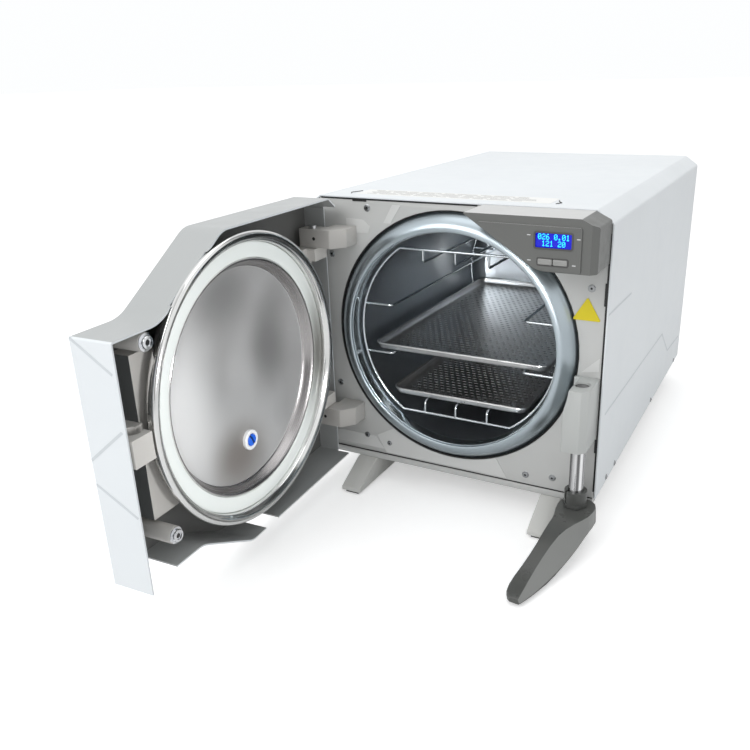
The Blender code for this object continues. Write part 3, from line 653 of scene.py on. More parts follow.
# Centre and axis of the turning marks
BORE_TURNING = (CABINET_PLACE @ Vector((BORE_X, 0.0, BORE_Z)), (0.0, 1.0, 0.0))
DISC_TURNING = (
    DOOR_PLACE @ Vector((BORE_X, 0.0, BORE_Z)),
    DOOR_PLACE.to_3x3() @ Vector((0.0, 1.0, 0.0)),
)

WHITE = painted("white_powder_coat", (0.80, 0.835, 0.86), 0.34)
# the grey of the pressed lines is painted crease shade
CREASE_SHADE = painted("pressed_line_shade", (0.63, 0.665, 0.69), 0.40)
FLANGE_PAINT = painted("door_flange_paint", (0.46, 0.475, 0.475), 0.36)
# painted shade on the inside of the door's front sheet
RECESS_SHADE = painted("door_inside_shade", (0.20, 0.20, 0.195), 0.50)
PANEL = painted("panel_satin_paint", (0.575, 0.58, 0.57), 0.22)
# a paler copy of the panel paint: a painted highlight on the panel's facets
PANEL_FACET_HIGHLIGHT = painted("panel_facet_highlight", (0.67, 0.675, 0.665), 0.20)
CAST = painted("cast_light_grey", (0.56, 0.545, 0.52), 0.40, 0.00005)
CAST_SHADE = painted("cast_shadow_grey", (0.085, 0.09, 0.09), 0.50)
BLOCK = painted("lock_block_grey", (0.52, 0.535, 0.525), 0.38, 0.00005)
FOOT = painted("foot_grey", (0.68, 0.68, 0.655), 0.42, 0.00005)
LEVER = painted("lever_dark_grey", (0.088, 0.091, 0.086), 0.30)
# painted light on the lever's side facet, and painted shade on its underside
LEVER_SIDE_LIGHT = painted("lever_side_painted_light", (0.235, 0.24, 0.232), 0.34)
LEVER_SHADE = painted("lever_underside_shade", (0.030, 0.030, 0.029), 0.50)
COLLAR = painted("collar_dark_grey", (0.075, 0.078, 0.074), 0.28)
# the fascia's paler top surfaces are painted light
FASCIA = top_lit_moulding("fascia_moulding_painted_top_light", (0.145, 0.148, 0.142), (0.60, 0.60, 0.595), 0.40)
BUTTON = moulded("button_moulding", (0.33, 0.33, 0.32), 0.35)
# black moulding for black parts, and also painted shade in sockets, in the plug's slot and behind the
# buttons
BLACK_AND_SHADE = moulded("black_moulding_and_shade", (0.012, 0.012, 0.013), 0.45)
BEZEL = moulded("bezel_moulding", (0.085, 0.084, 0.082), 0.35)
RUBBER = moulded("black_rubber_matt", (0.016, 0.016, 0.016), 0.72, 0.0001)
FLANGE = turned_steel("satin_flange_steel", (0.47, 0.535, 0.575), 0.31, *BORE_TURNING)
# a paler copy of the flange steel: a painted highlight on the inner lip
FLANGE_LIP_HIGHLIGHT = turned_steel("lip_steel_painted_highlight", (0.60, 0.66, 0.69), 0.24, *BORE_TURNING)
CHAMBER = turned_steel("chamber_steel", (0.47, 0.51, 0.545), 0.34, *BORE_TURNING)
RIM_STEEL = turned_steel("rim_bright_steel", (0.80, 0.80, 0.79), 0.11, *DISC_TURNING)
# the dish's light and dark patches are painted reflections
DISH = dished_steel("dished_steel_painted_reflections")
# a darker copy of the disc's steel: painted shade on the dish's inner wall
WALL_SHADE_STEEL = turned_steel("dish_wall_shaded_steel", (0.40, 0.385, 0.385), 0.27, *DISC_TURNING)
WIRE_STEEL = steel("bright_wire", (0.66, 0.70, 0.73), 0.20)
TRAY_STEEL = steel("tray_steel", (0.66, 0.66, 0.66), 0.33, (1.0, 0.1, 1.0), 0.000003)
# painted shade on the edges of the tray slots
SLOT_SHADE = painted("slot_edge_shade", (0.05, 0.05, 0.05), 0.45)
SCREW_STEEL = steel("screw_steel", (0.40, 0.41, 0.42), 0.26)
PLAIN_STEEL = steel("plain_steel", (0.60, 0.61, 0.62), 0.30)
CHROME = steel("hard_chrome", (0.82, 0.83, 0.85), 0.06, (1.0, 1.0, 0.1), 0.000004)
ROD_CHROME = reflection_painted_chrome("rod_chrome_painted_reflections")
SILICONE = glossy_silicone("silicone_seal", (0.84, 0.88, 0.86))
WHITE_PLASTIC = moulded("white_moulding", (0.80, 0.81, 0.82), 0.40)
PLUG = moulded("blue_plug_moulding", (0.010, 0.13, 0.72), 0.30)
YELLOW = painted("yellow_print", (0.74, 0.61, 0.010), 0.45, 0.00001)
BRASS = steel("machined_brass", (0.62, 0.46, 0.18), 0.30)
BOARD = moulded("circuit_board", (0.015, 0.16, 0.06), 0.40)
BLANKET = moulded("glass_fibre_blanket", (0.66, 0.62, 0.48), 0.90, 0.0006)
TANK = moulded("tank_moulding", (0.72, 0.76, 0.77), 0.38)
LABEL = painted("label_film", (0.90, 0.90, 0.88), 0.35, 0.00001)
LABEL_INK = painted("label_marks", (0.42, 0.42, 0.41), 0.40, 0.00001)
LCD = glowing("lcd_backlight", (0.0, 0.003, 0.42), 0.75)
LCD_DOT = glowing("lcd_dots", (0.02, 0.62, 1.0), 1.6)


# Casing

SHEET = 0.002
SHOULDER_X = 0.018
SHOULDER_Z = 0.013


def casing_path(gap, slope):
    """The casing's section from one lower edge over the top to the other, moved inwards by a gap."""
    right = [
        (SIDE_X - gap, BASE_Z),
        (SIDE_X - gap, TOP_Z - SHOULDER_Z - slope),
        (SIDE_X - SHOULDER_X - slope, TOP_Z - gap),
    ]
    return [(-x, z) for x, z in right] + right[::-1]


def make_casing():
    inner = casing_path(SHEET, SHEET * 0.4)
    outline = folded(casing_path(0.0, 0.0), 0.0045) + folded(inner, 0.0025)[::-1]
    shell = bevel(plate("casing_shell", [outline], 0.0, DEPTH), 0.0006)
    place(shell, "cabinet", WHITE, ["casing_cover"])


SIDE_LINES = [
    # (y, z) paths
    [(0.017, 0.136), (0.345, 0.129), (0.406, 0.084), (0.504, 0.077)],
    [(0.002, 0.253), (0.105, 0.250)],
]
SIDE_LINE_WIDTH = 0.0020
SIDE_LINE_RISE = 0.0003
SIDE_LINE_SINK = 0.0004


def make_side_lines():
    """The pressed lines that cross the casing's sides, in a grey that is painted crease shade."""
    lines = []
    for side in (-1, 1):
        ends = sorted((side * (SIDE_X - SIDE_LINE_SINK), side * (SIDE_X + SIDE_LINE_RISE)))
        for points in SIDE_LINES:
            lines.append(plate("line", [stroke(points, SIDE_LINE_WIDTH)], *ends, "YZ"))
    place(merged("side_lines", *lines), "cabinet", CREASE_SHADE)


PANEL_FACETS = [
    [(-0.172, 0.046), (-0.088, 0.046), (-0.0995, 0.0617), (-0.172, 0.0617)],
    [(-0.0850, 0.0420), (0.0750, 0.0420), (0.0620, 0.0640), (-0.0560, 0.0873), (-0.0976, 0.0641)],
    [(-0.1277, 0.3342), (-0.1055, 0.3334), (-0.0961, 0.3266), (-0.0990, 0.3180), (-0.1277, 0.3180)],
    [(-0.0668, 0.3520), (-0.0560, 0.3520), (-0.0700, 0.3309), (-0.0790, 0.3309)],
    [(0.1555, 0.1875), (0.1745, 0.1905), (0.1745, 0.2059)],
]
FACET_CLEARANCE = 0.003


def make_panel():
    """The front panel with its facets made paler by a painted highlight, the base pan and the rear
    panel.
    """
    finish_node("front_panel", PANEL, 0.0003)
    facets = []
    clear = circle((BORE_X, BORE_Z), FLANGE_R + FACET_CLEARANCE, 96)
    for outline in PANEL_FACETS:
        facet = plate("facet", [outline], -0.0002, 0.0006)
        facets.append(cut(facet, plate("clear", [clear], -0.01, 0.01)))
    place(merged("panel_facets", *facets), "cabinet", PANEL_FACET_HIGHLIGHT)
    finish_node("base_pan", PANEL, 0.0006)
    finish_node("rear_panel", WHITE, 0.0004)


SCREW_SPOTS = [
    (-0.0994, 0.3467),
    (0.1614, 0.2795),
    (-0.1122, 0.0610),
    (-0.0807, 0.0556),
    (0.0979, 0.0516),
    (0.1297, 0.0546),
    (-0.1500, 0.2907),
    (-0.1480, 0.1274),
]
REAR_SCREW_SPOTS = [(x, z) for x in (-0.165, 0.0, 0.165) for z in (0.050, 0.338)]
SIDE_SCREW_SPOTS = [(0.087, 0.0435), (0.046, 0.0450), (0.300, 0.0435), (0.480, 0.0435)]
SCREW_R = 0.0033
SIDE_SCREW_R = 0.0028
SCREW_SINK = 0.0003


def add_screw(bm, spot, axis, radius=SCREW_R):
    """A pan head with a six-sided socket, painted dark as shade."""
    head = [(radius * 1.25, -0.0004), (radius * 1.25, 0.0002), (radius * 1.15, 0.0004)]
    head += [(radius, 0.0005), (radius * 0.9, 0.0011), (radius * 0.5, 0.0014), (0.0, 0.0014)]
    add_turned(bm, spot, axis, head, 24)
    socket = [(radius * 0.42, 0.0010), (radius * 0.42, 0.00145), (0.0, 0.00145)]
    add_turned(bm, spot, axis, socket, 6, material=1)


def make_screws():
    bm = bmesh.new()
    for x, z in SCREW_SPOTS:
        add_screw(bm, (x, SCREW_SINK, z), (0, -1, 0))
    for x, z in REAR_SCREW_SPOTS:
        add_screw(bm, (x, DEPTH - SCREW_SINK, z), (0, 1, 0))
    for y, z in SIDE_SCREW_SPOTS:
        for side in (-1, 1):
            add_screw(bm, (side * SIDE_X, y, z), (side, 0, 0), SIDE_SCREW_R)
    place(mesh_object("casing_screws", bm), "cabinet", [SCREW_STEEL, BLACK_AND_SHADE])


SEAM_BACK_Y = 0.0020
SEAMS = [
    # two corners (x, z), and how far the dark strip stands out of the panel
    ((SIDE_X - 0.0036, 0.048), (SIDE_X - 0.0021, 0.336), 0.0003),
    ((SIDE_X - 0.0050, 0.262), (SIDE_X - 0.0021, 0.286), 0.0004),
    ((SIDE_X - 0.0050, 0.096), (SIDE_X - 0.0021, 0.112), 0.0004),
    ((-0.160, TOP_Z - 0.0035), (0.035, TOP_Z - 0.0022), 0.0003),
    ((-0.118, TOP_Z - 0.0052), (-0.100, TOP_Z - 0.0022), 0.0004),
    ((-0.176, BASE_Z + 0.0002), (0.176, BASE_Z + 0.0012), 0.0003),
]


def make_panel_seams():
    """The dark seams where the front panel meets the casing and the base, with its tab slots."""
    strips = [
        box("seam", (x0, -rise, z0), (x1, SEAM_BACK_Y, z1)) for (x0, z0), (x1, z1), rise in SEAMS
    ]
    place(merged("panel_seams", *strips), "cabinet", BLACK_AND_SHADE)


LABEL_X = (-0.125, 0.108)
LABEL_Y = (0.020, 0.054)
LABEL_ROWS = 5
LABEL_ROW_PITCH = 0.0058
BAR_HEIGHT = 0.0012
BAR_GAP = 0.004


def label_row(row):
    """Plain bars of uneven length that stand for one line of print."""
    y = LABEL_Y[0] + 0.005 + LABEL_ROW_PITCH * row
    x = LABEL_X[0] + 0.012 + BAR_GAP * (row % 2)
    bars = []
    while x < LABEL_X[1] - 0.030:
        width = 0.012 + 0.006 * ((row * 3 + len(bars) * 2) % 4)
        bar = rectangle((x, y), (min(x + width, LABEL_X[1] - 0.012), y + BAR_HEIGHT))
        bars.append(plate("bar", [bar], TOP_Z, TOP_Z + 0.00035, "XY"))
        x += width + BAR_GAP
    return bars


def make_label_strip():
    """A blank film on the casing's top, with plain bars in place of print, and its two clips."""
    film = rectangle((LABEL_X[0], LABEL_Y[0]), (LABEL_X[1], LABEL_Y[1]), 0.002)
    strip = plate("top_label", [film], TOP_Z - 0.0003, TOP_Z + 0.0002, "XY")
    place(strip, "cabinet", LABEL)
    bars = [bar for row in range(LABEL_ROWS) for bar in label_row(row)]
    place(merged("top_label_bars", *bars), "cabinet", LABEL_INK)
    clips = []
    for side, x in ((-1, LABEL_X[0] - 0.006), (1, LABEL_X[1] + 0.006)):
        bends = [(x, 0.020), (x + side * 0.004, 0.027), (x, 0.033), (x - side * 0.003, 0.041)]
        clips.append((softened([(bend_x, y, TOP_Z) for bend_x, y in bends], 0.0015), False))
    place(wires("label_clips", clips, 0.0007), "cabinet", BLACK_AND_SHADE)


def make_feet():
    for side in ("left", "right"):
        finish_node(f"front_{side}_foot", FOOT, 0.0018)
        finish_node(f"{side}_pad", RUBBER, 0.0006)
        finish_node(f"rear_{side}_foot", RUBBER, 0.0010)


# Chamber


def make_flange():
    """The flange's rounded nose and sloping face, its inner lip in smoother steel made paler by a
    painted highlight, and the seal round it.
    """
    y = FLANGE_NOSE_Y
    profile = [(0.1258, 0.0056), (0.1258, y + 0.0022)]
    profile += arc((0.1272, y + 0.0016), 0.0014, pi, 1.4 * pi, 5)
    profile += [(0.1295, y + 0.0001), (0.1325, y + 0.0010), (0.1355, y + 0.0028)]
    profile += [(0.1388, y + 0.0058), (0.1418, y + 0.0097), (0.1440, y + 0.0138)]
    profile += [(FLANGE_R + 0.0009, 0.0030), (FLANGE_R + 0.0009, 0.0056)]
    place(turned("flange_ring", profile), "cabinet", FLANGE, ["chamber_flange"])

    lip = [(BORE_R, 0.0050), (BORE_R, y + 0.0046)]
    lip += arc((0.12545, y + 0.0040), 0.00045, pi, 2 * pi, 6)
    lip += [(0.1257, 0.0050)]
    place(turned("flange_lip", lip), "cabinet", FLANGE_LIP_HIGHLIGHT)

    seal = [(0.1473, 0.0000), (0.1474, 0.0050), (0.1461, 0.0050), (0.1461, 0.0010)]
    place(turned("flange_seal", seal), "cabinet", RUBBER, ["flange_gap_seal"])


VESSEL_R = BORE_R + 0.0035
KNUCKLE_R = 0.022


def make_vessel():
    """The bore with its domed end: the inside from the mouth to the axis, then the outside."""
    depth = machine_box("chamber_vessel")[1].y
    inside = [(BORE_R, 0.0058), (BORE_R, 0.10), (BORE_R, 0.20)]
    inside += arc((BORE_R - KNUCKLE_R, depth - 0.040), KNUCKLE_R, 0.0, radians(62), 10)
    inside += [(radius, depth - 0.0075 - radius**2 * 1.12) for radius in (0.09, 0.07, 0.05, 0.03)]
    inside += [(0.0, depth - 0.0072)]
    outside = [(0.0, depth), (0.05, depth - 0.0020), (0.09, depth - 0.0090)]
    outside += [(0.118, depth - 0.024), (VESSEL_R, depth - 0.040), (VESSEL_R, 0.0062)]
    vessel = turned("vessel_shell", inside + outside)
    place(vessel, "cabinet", CHAMBER, ["chamber_vessel"])


HOOP_R = 0.1215
RACK_Y = (0.010, 0.345)
RACK_HALF_Z = 0.100
RAIL_DROP = 0.0855
SIDE_DROP = 0.030
SIDE_RAIL_X = 0.082
RAIL_XS = (-0.040, 0.0, 0.040)


def make_rack():
    """Two wire hoops with flat ends, three rails above and below, and two on each side."""
    edge = atan2(RACK_HALF_Z, (HOOP_R**2 - RACK_HALF_Z**2) ** 0.5)
    paths = []
    for y in RACK_Y:
        right = arc((BORE_X, BORE_Z), HOOP_R, -edge, edge, 28)
        left = arc((BORE_X, BORE_Z), HOOP_R, pi - edge, pi + edge, 28)
        paths.append(([(x, y, z) for x, z in right + left], True))
    front, back = RACK_Y[0] + 0.0005, RACK_Y[1] - 0.0005
    reach = (HOOP_R**2 - SIDE_DROP**2) ** 0.5
    for up in (-1, 1):
        hoop_z = BORE_Z + up * RACK_HALF_Z
        rail_z = BORE_Z + up * RAIL_DROP
        ends = [(front, hoop_z), (front, rail_z), (back, rail_z), (back, hoop_z)]
        for x in RAIL_XS:
            points = [(BORE_X + x, y, z) for y, z in ends]
            paths.append((softened(points, 0.004), False))
        ends = [(reach, front), (SIDE_RAIL_X, front), (SIDE_RAIL_X, back), (reach, back)]
        for side in (-1, 1):
            points = [(BORE_X + side * x, y, BORE_Z + up * SIDE_DROP) for x, y in ends]
            paths.append((softened(points, 0.005), False))
    place(wires("rack_wires", paths, 0.0015), "cabinet", WIRE_STEEL, ["tray_rack"])


# Trays

TRAY_SHEET = 0.0008
TRAY_CORNER = 0.014
ROLL_R = 0.0016
SLOT_PITCH = (0.0082, 0.0078)
SLOT_HALF = (0.0026, 0.0012)
SLOT_CORNER_PULL = 0.70
CELL_RING = [(-1, -1), (0, -1), (1, -1), (1, 0), (1, 1), (0, 1), (-1, 1), (-1, 0)]


def perforated(low, high, z):
    """A sheet of staggered slots: each cell is a ring of faces round one slot."""
    across = max(1, round((high[0] - low[0]) / SLOT_PITCH[0]))
    along = max(1, round((high[1] - low[1]) / SLOT_PITCH[1]))
    step_x = (high[0] - low[0]) / across
    step_y = (high[1] - low[1]) / along
    bm = bmesh.new()

    def spot(x, y):
        return bm.verts.new((x, y, z))

    def half_cell(x, y):
        corners = [(x, y), (x + step_x / 2, y), (x + step_x / 2, y + step_y), (x, y + step_y)]
        bm.faces.new([spot(*corner) for corner in corners])

    def slot_cell(x, y):
        outer, inner = [], []
        for u, v in CELL_RING:
            pull = SLOT_CORNER_PULL if u and v else 1.0
            outer.append(spot(x + u * step_x / 2, y + v * step_y / 2))
            inner.append(spot(x + u * SLOT_HALF[0] * pull, y + v * SLOT_HALF[1] * pull))
        for k in range(len(CELL_RING)):
            bm.faces.new((outer[k - 1], outer[k], inner[k], inner[k - 1]))

    for j in range(along):
        y = low[1] + j * step_y
        shifted = j % 2
        if shifted:
            half_cell(low[0], y)
            half_cell(high[0] - step_x / 2, y)
        for i in range(across - shifted):
            slot_cell(low[0] + (i + 0.5 * shifted) * step_x + step_x / 2, y + step_y / 2)
    bmesh.ops.remove_doubles(bm, verts=bm.verts, dist=1e-6)
    return thickened(mesh_object("perforated", bm, smooth=False))


def thickened(sheet):
    """Give a flat sheet its thickness, with the second material on the edges this makes; on the trays
    it is painted shade that makes the slots look dark.
    """
    for _ in range(2):
        sheet.data.materials.append(None)
    thick = sheet.modifiers.new("thickness", "SOLIDIFY")
    thick.thickness = TRAY_SHEET
    thick.offset = 0.0
    thick.material_offset_rim = 1
    return applied(sheet)


def swept(name, outline, section):
    """A closed band that follows an outline, from (inset, z) points."""
    bm = bmesh.new()
    loops = []
    for distance, z in section:
        loops.append([bm.verts.new((x, y, z)) for x, y in inset(outline, distance)])
    for a, b in zip(loops, loops[1:] + loops[:1]):
        for i in range(len(outline)):
            bm.faces.new((a[i - 1], a[i], b[i], b[i - 1]))
    return mesh_object(name, bm)


BORDER_OUTER = 0.0080
BORDER_INNER = 0.0112


def make_tray(node, body, name):
    """A tray: a rolled edge, a sloping wall, a plain border and a perforated floor."""
    low, high = machine_box(node)
    rim = rectangle((low.x, low.y), (high.x, high.y), TRAY_CORNER)
    floor_z = low.z + TRAY_SHEET / 2
    under, over = floor_z - TRAY_SHEET / 2, floor_z + TRAY_SHEET / 2
    roll_z = high.z - ROLL_R
    roll = [(ROLL_R + dx, roll_z + dz) for dx, dz in circle((0.0, 0.0), ROLL_R, 10)]
    wall = [
        (0.0026, roll_z),
        (0.0036, floor_z + 0.0024),
        (0.0046, floor_z + 0.0010),
        (0.0062, over),
        (0.0085, over),
        (0.0085, under),
        (0.0056, under),
        (0.0038, floor_z + 0.0006),
        (0.0028, floor_z + 0.0022),
        (0.0018, roll_z),
    ]
    near = (low.x + BORDER_INNER, low.y + BORDER_INNER)
    far = (high.x - BORDER_INNER, high.y - BORDER_INNER)
    border = [inset(rim, BORDER_OUTER), rectangle(near, far)]
    tray = merged(
        name,
        swept("roll", rim, roll),
        swept("wall", rim, wall),
        plate("border", border, under, over, "XY"),
        perforated(near, far, floor_z),
    )
    place(tray, body, [TRAY_STEEL, SLOT_SHADE], [node])


# Door

COVER_Y = (-0.054, -0.009)
COVER_X = (-0.178, 0.184)
COVER_SHEET = 0.0016
COVER_CORNERS = [
    # x, z, radius
    (COVER_X[0], 0.0330, 0.003),
    (0.0368, 0.0285, 0.025),
    (0.1120, 0.0685, 0.030),
    (COVER_X[1], 0.0685, 0.002),
    (COVER_X[1], 0.2975, 0.002),
    (0.1285, 0.2975, 0.040),
    (0.0325, TOP_Z, 0.030),
    (-0.1600, TOP_Z, 0.002),
    (COVER_X[0], 0.3460, 0.002),
]
LOCK_NOTCH_HALF = 0.0137
DISC_CLEAR_R = 0.1520
RIM_CLEAR_R = 0.1506
RIM_CLEAR_Y = -0.0118
# Cuts that are open towards the machine end here
OPEN_Y = 0.010


def disc_space(radius, front_y):
    """The round space that the door's disc needs, to be cut from its neighbours."""
    return plate("disc_space", [circle((BORE_X, BORE_Z), radius, 128)], front_y, OPEN_Y)


def make_door_cover():
    """The folded pan: white outside, grey on its flanges, and painted shade on the inside of its front
    sheet.
    """
    outline = rounded(COVER_CORNERS)
    inner_y = COVER_Y[0] + COVER_SHEET
    inner_x = COVER_X[1] - COVER_SHEET
    cover = plate("cover_shell", [outline], *COVER_Y)
    cut(cover, plate("inside", [inset(outline, COVER_SHEET)], inner_y, OPEN_Y))
    join(cover, box("strip", (inner_x, COVER_Y[0], 0.0600), (COVER_X[1], COVER_Y[1], 0.0750)))
    cut(
        cover,
        box("notch", (LOCK.x - LOCK_NOTCH_HALF, inner_y, 0.0610), (inner_x, OPEN_Y, 0.0750)),
        box("gap", (-0.012, inner_y, 0.020), (0.012, OPEN_Y, 0.045)),
        box("hinge_side", (-0.190, -0.026, 0.0), (COVER_X[0] + 0.004, OPEN_Y, 0.4)),
        disc_space(RIM_CLEAR_R, RIM_CLEAR_Y),
    )

    def finish_of(face):
        if abs(face.normal.y) < 0.5 and face.center.x < inner_x - 0.0005:
            return 1
        # the inside of the front sheet takes the painted shade
        return 2 if face.normal.y > 0.9 and face.center.y < inner_y + 0.001 else 0

    sort_faces(cover, finish_of)
    shade(cover.data)
    bevel(cover, 0.0004, 2, 40)
    place(cover, "door", [WHITE, FLANGE_PAINT, RECESS_SHADE], ["door_cover"])


COVER_LINES = [
    # (y, z) paths
    [(-0.0535, 0.2970), (-0.0130, 0.2700)],
    [(-0.0535, 0.1865), (-0.0130, 0.2195)],
    [(-0.0535, 0.1632), (-0.0110, 0.1385)],
]
COVER_LINE_WIDTH = 0.0026


def make_cover_lines():
    """The thin pressed lines that run over the door's free edge, in a grey that is painted crease
    shade.
    """
    ends = (COVER_X[1] - 0.0005, COVER_X[1] + 0.0002)
    lines = [plate("line", [stroke(points, COVER_LINE_WIDTH)], *ends, "YZ") for points in COVER_LINES]
    place(merged("cover_lines", *lines), "door", CREASE_SHADE)


DISH_R = 0.1136
SEAT_R = 0.1212
PROBE = (0.000, 0.128)
PROBE_HOLE_R = 0.0112
DISC_STEPS = 192


def disc_profile():
    """The disc's section from the axis at the back, round the rim, to the axis at the front."""
    back = [(0.0, -0.0330), (0.0400, -0.0326), (0.0700, -0.0315), (0.1060, -0.0272)]
    back += [(0.1250, -0.0248), (0.1380, -0.0236), (0.1432, -0.0210), (0.1448, -0.0160)]
    back += [(0.1449, -0.0126)]
    rim = arc((0.1461, -0.0082), 0.0037, radians(-110), radians(100), 18)
    rim += [(0.1420, -0.0064), (0.1411, -0.0072), (0.1407, -0.0080), (0.1400, -0.0082)]
    rim += [(0.1394, -0.0088), (0.1388, -0.0104), (0.1387, -0.0190)]
    seat = [(0.1222, -0.0190), (0.1221, -0.0150), (0.1214, -0.0141), (0.1204, -0.0140)]
    wall = [(0.1194, -0.0148), (0.1180, -0.0172), (0.1160, -0.0212), (0.1147, -0.0236)]
    wall += [(0.1134, -0.0250), (0.1115, -0.0256)]
    dish = [(0.1060, -0.0263), (0.0950, -0.0274), (0.0820, -0.0284), (0.0650, -0.0294)]
    dish += [(0.0450, -0.0301), (0.0220, -0.0304), (0.0, -0.0305)]
    return back + rim + seat + wall + dish


def make_disc():
    """The door's disc: a rolled rim, the gasket's seat, and a dish behind a tall inner wall that is
    darkened by painted shade.
    """
    disc = turned("disc_pressing", disc_profile(), steps=DISC_STEPS)
    ends = [(PROBE[0], y, PROBE[1]) for y in (-0.050, 0.0)]
    cut(disc, rod("probe_hole", *ends, PROBE_HOLE_R))
    centre = Vector((BORE_X, BORE_Z))

    def finish_of(face):
        away = (face.center.xz - centre).length
        return 1 if away < DISH_R else 2 if away < SEAT_R else 0

    sort_faces(disc, finish_of)
    shade(disc.data, 50)
    place(disc, "door", [RIM_STEEL, DISH, WALL_SHADE_STEEL], ["door_disc"])

    seal = [(0.1384, -0.0186), (0.1384, -0.0142), (0.1378, -0.0135), (0.1368, -0.0132)]
    seal += [(0.1300, -0.0134), (0.1240, -0.0132), (0.1229, -0.0136), (0.1225, -0.0144)]
    seal += [(0.1225, -0.0186)]
    gasket = turned("gasket_ring", seal, steps=DISC_STEPS)
    place(gasket, "door", SILICONE, ["door_gasket"])


SLOT_INSIDE_R = 0.0060
SLOT_INSIDE_Y = (-0.0300, -0.0243)


def make_probe():
    """The white bushing in the dish and its blue plug, whose slot is painted dark inside as shade."""
    x, z = PROBE
    bushing = [(0.0068, -0.0270), (0.0068, -0.0260), (0.0074, -0.0253), (0.0086, -0.0250)]
    bushing += [(0.0102, -0.0252), (0.0110, -0.0260), (0.0110, -0.0335), (0.0068, -0.0335)]
    ring = turned("bushing_ring", bushing, PROBE, 48)
    place(ring, "door", WHITE_PLASTIC, ["probe_bushing"])
    head = [(0.0, -0.0335), (0.0065, -0.0335), (0.0065, -0.0252), (0.0058, -0.0243)]
    head += [(0.0042, -0.0239), (0.0, -0.0238)]
    plug = turned("slotted_plug", head, PROBE, 40)
    slot = box("slot", (-0.0013, -0.0256, -0.010), (0.0013, -0.020, 0.010))
    slot.data.transform(Matrix.Translation((x, 0.0, z)) @ Matrix.Rotation(radians(25), 4, "Y"))
    cut(plug, slot)

    def finish_of(face):
        deep = SLOT_INSIDE_Y[0] < face.center.y < SLOT_INSIDE_Y[1]
        return 1 if deep and (face.center.xz - Vector(PROBE)).length < SLOT_INSIDE_R else 0

    sort_faces(plug, finish_of)
    place(bevel(plug, 0.0002, 1), "door", [PLUG, BLACK_AND_SHADE], ["probe_plug"])


ARM_SIDE_X = 0.148
POSTS = ((0.146, 0.286), (0.144, 0.099))
POST_TOP_Y = -0.0111


def make_door_arm():
    """The cast arm as its CAD shape, with painted shade on its side inside the cover's channel."""
    bm = bmesh.new()
    bm.from_mesh(frame["nodes"]["door_arm"].data)
    bmesh.ops.transform(bm, matrix=DOOR_PLACE.inverted(), verts=bm.verts)
    bmesh.ops.remove_doubles(bm, verts=bm.verts, dist=1e-5)
    bmesh.ops.dissolve_limit(bm, angle_limit=radians(1), verts=bm.verts, edges=bm.edges)
    for face in bm.faces:
        at_side = abs(face.calc_center_median().x - ARM_SIDE_X) < 0.0006
        face.material_index = 1 if at_side and face.normal.x > 0.9 else 0
    arm = bevel(mesh_object("arm_casting", bm), 0.0010)
    place(arm, "door", [CAST, CAST_SHADE], ["door_arm"])


def make_door_frame():
    """The arm, the cover's posts with their screws, and the disc's spacer."""
    make_door_arm()
    for name in ("upper_cover_post", "lower_cover_post"):
        finish_node(name, CAST, 0.0008)
    finish_node("disc_spacer", PLAIN_STEEL, 0.0002)
    washer = [(0.0080, 0.0), (0.0080, 0.0008), (0.0062, 0.0010)]
    head = [(0.0060, 0.0010), (0.0062, 0.0030), (0.0057, 0.0040), (0.0036, 0.0041)]
    head += [(0.0034, 0.0030), (0.0, 0.0030)]
    socket = [(0.0026, 0.0030), (0.0026, 0.0032)]
    bm = bmesh.new()
    for x, z in POSTS:
        add_turned(bm, (x, POST_TOP_Y, z), (0, 1, 0), washer + head, 32)
        # the sockets are painted dark as shade
        add_turned(bm, (x, POST_TOP_Y, z), (0, 1, 0), socket, 6, material=1)
    place(mesh_object("post_screws", bm), "door", [CHROME, BLACK_AND_SHADE])


BRACKET_SOCKET_X = 0.021
BRACKET_SOCKET_R = 0.0020


def make_hinges():
    """The hinge brackets and pins, with a small socket in each bracket's face, a dark disc of painted
    shade.
    """
    bm = bmesh.new()
    for level in ("upper", "lower"):
        finish_node(f"{level}_hinge_bracket", CAST, 0.0012)
        finish_node(f"{level}_hinge_pin", PLAIN_STEEL, 0.0006)
        low, high = machine_box(f"{level}_hinge_bracket")
        spot = (low.x + BRACKET_SOCKET_X, low.y, (low.z + high.z) / 2)
        profile = [(BRACKET_SOCKET_R, -0.0004), (BRACKET_SOCKET_R, 0.0001)]
        add_turned(bm, spot, (0, -1, 0), profile, 12)
    place(mesh_object("bracket_sockets", bm), "cabinet", BLACK_AND_SHADE)


# Lock

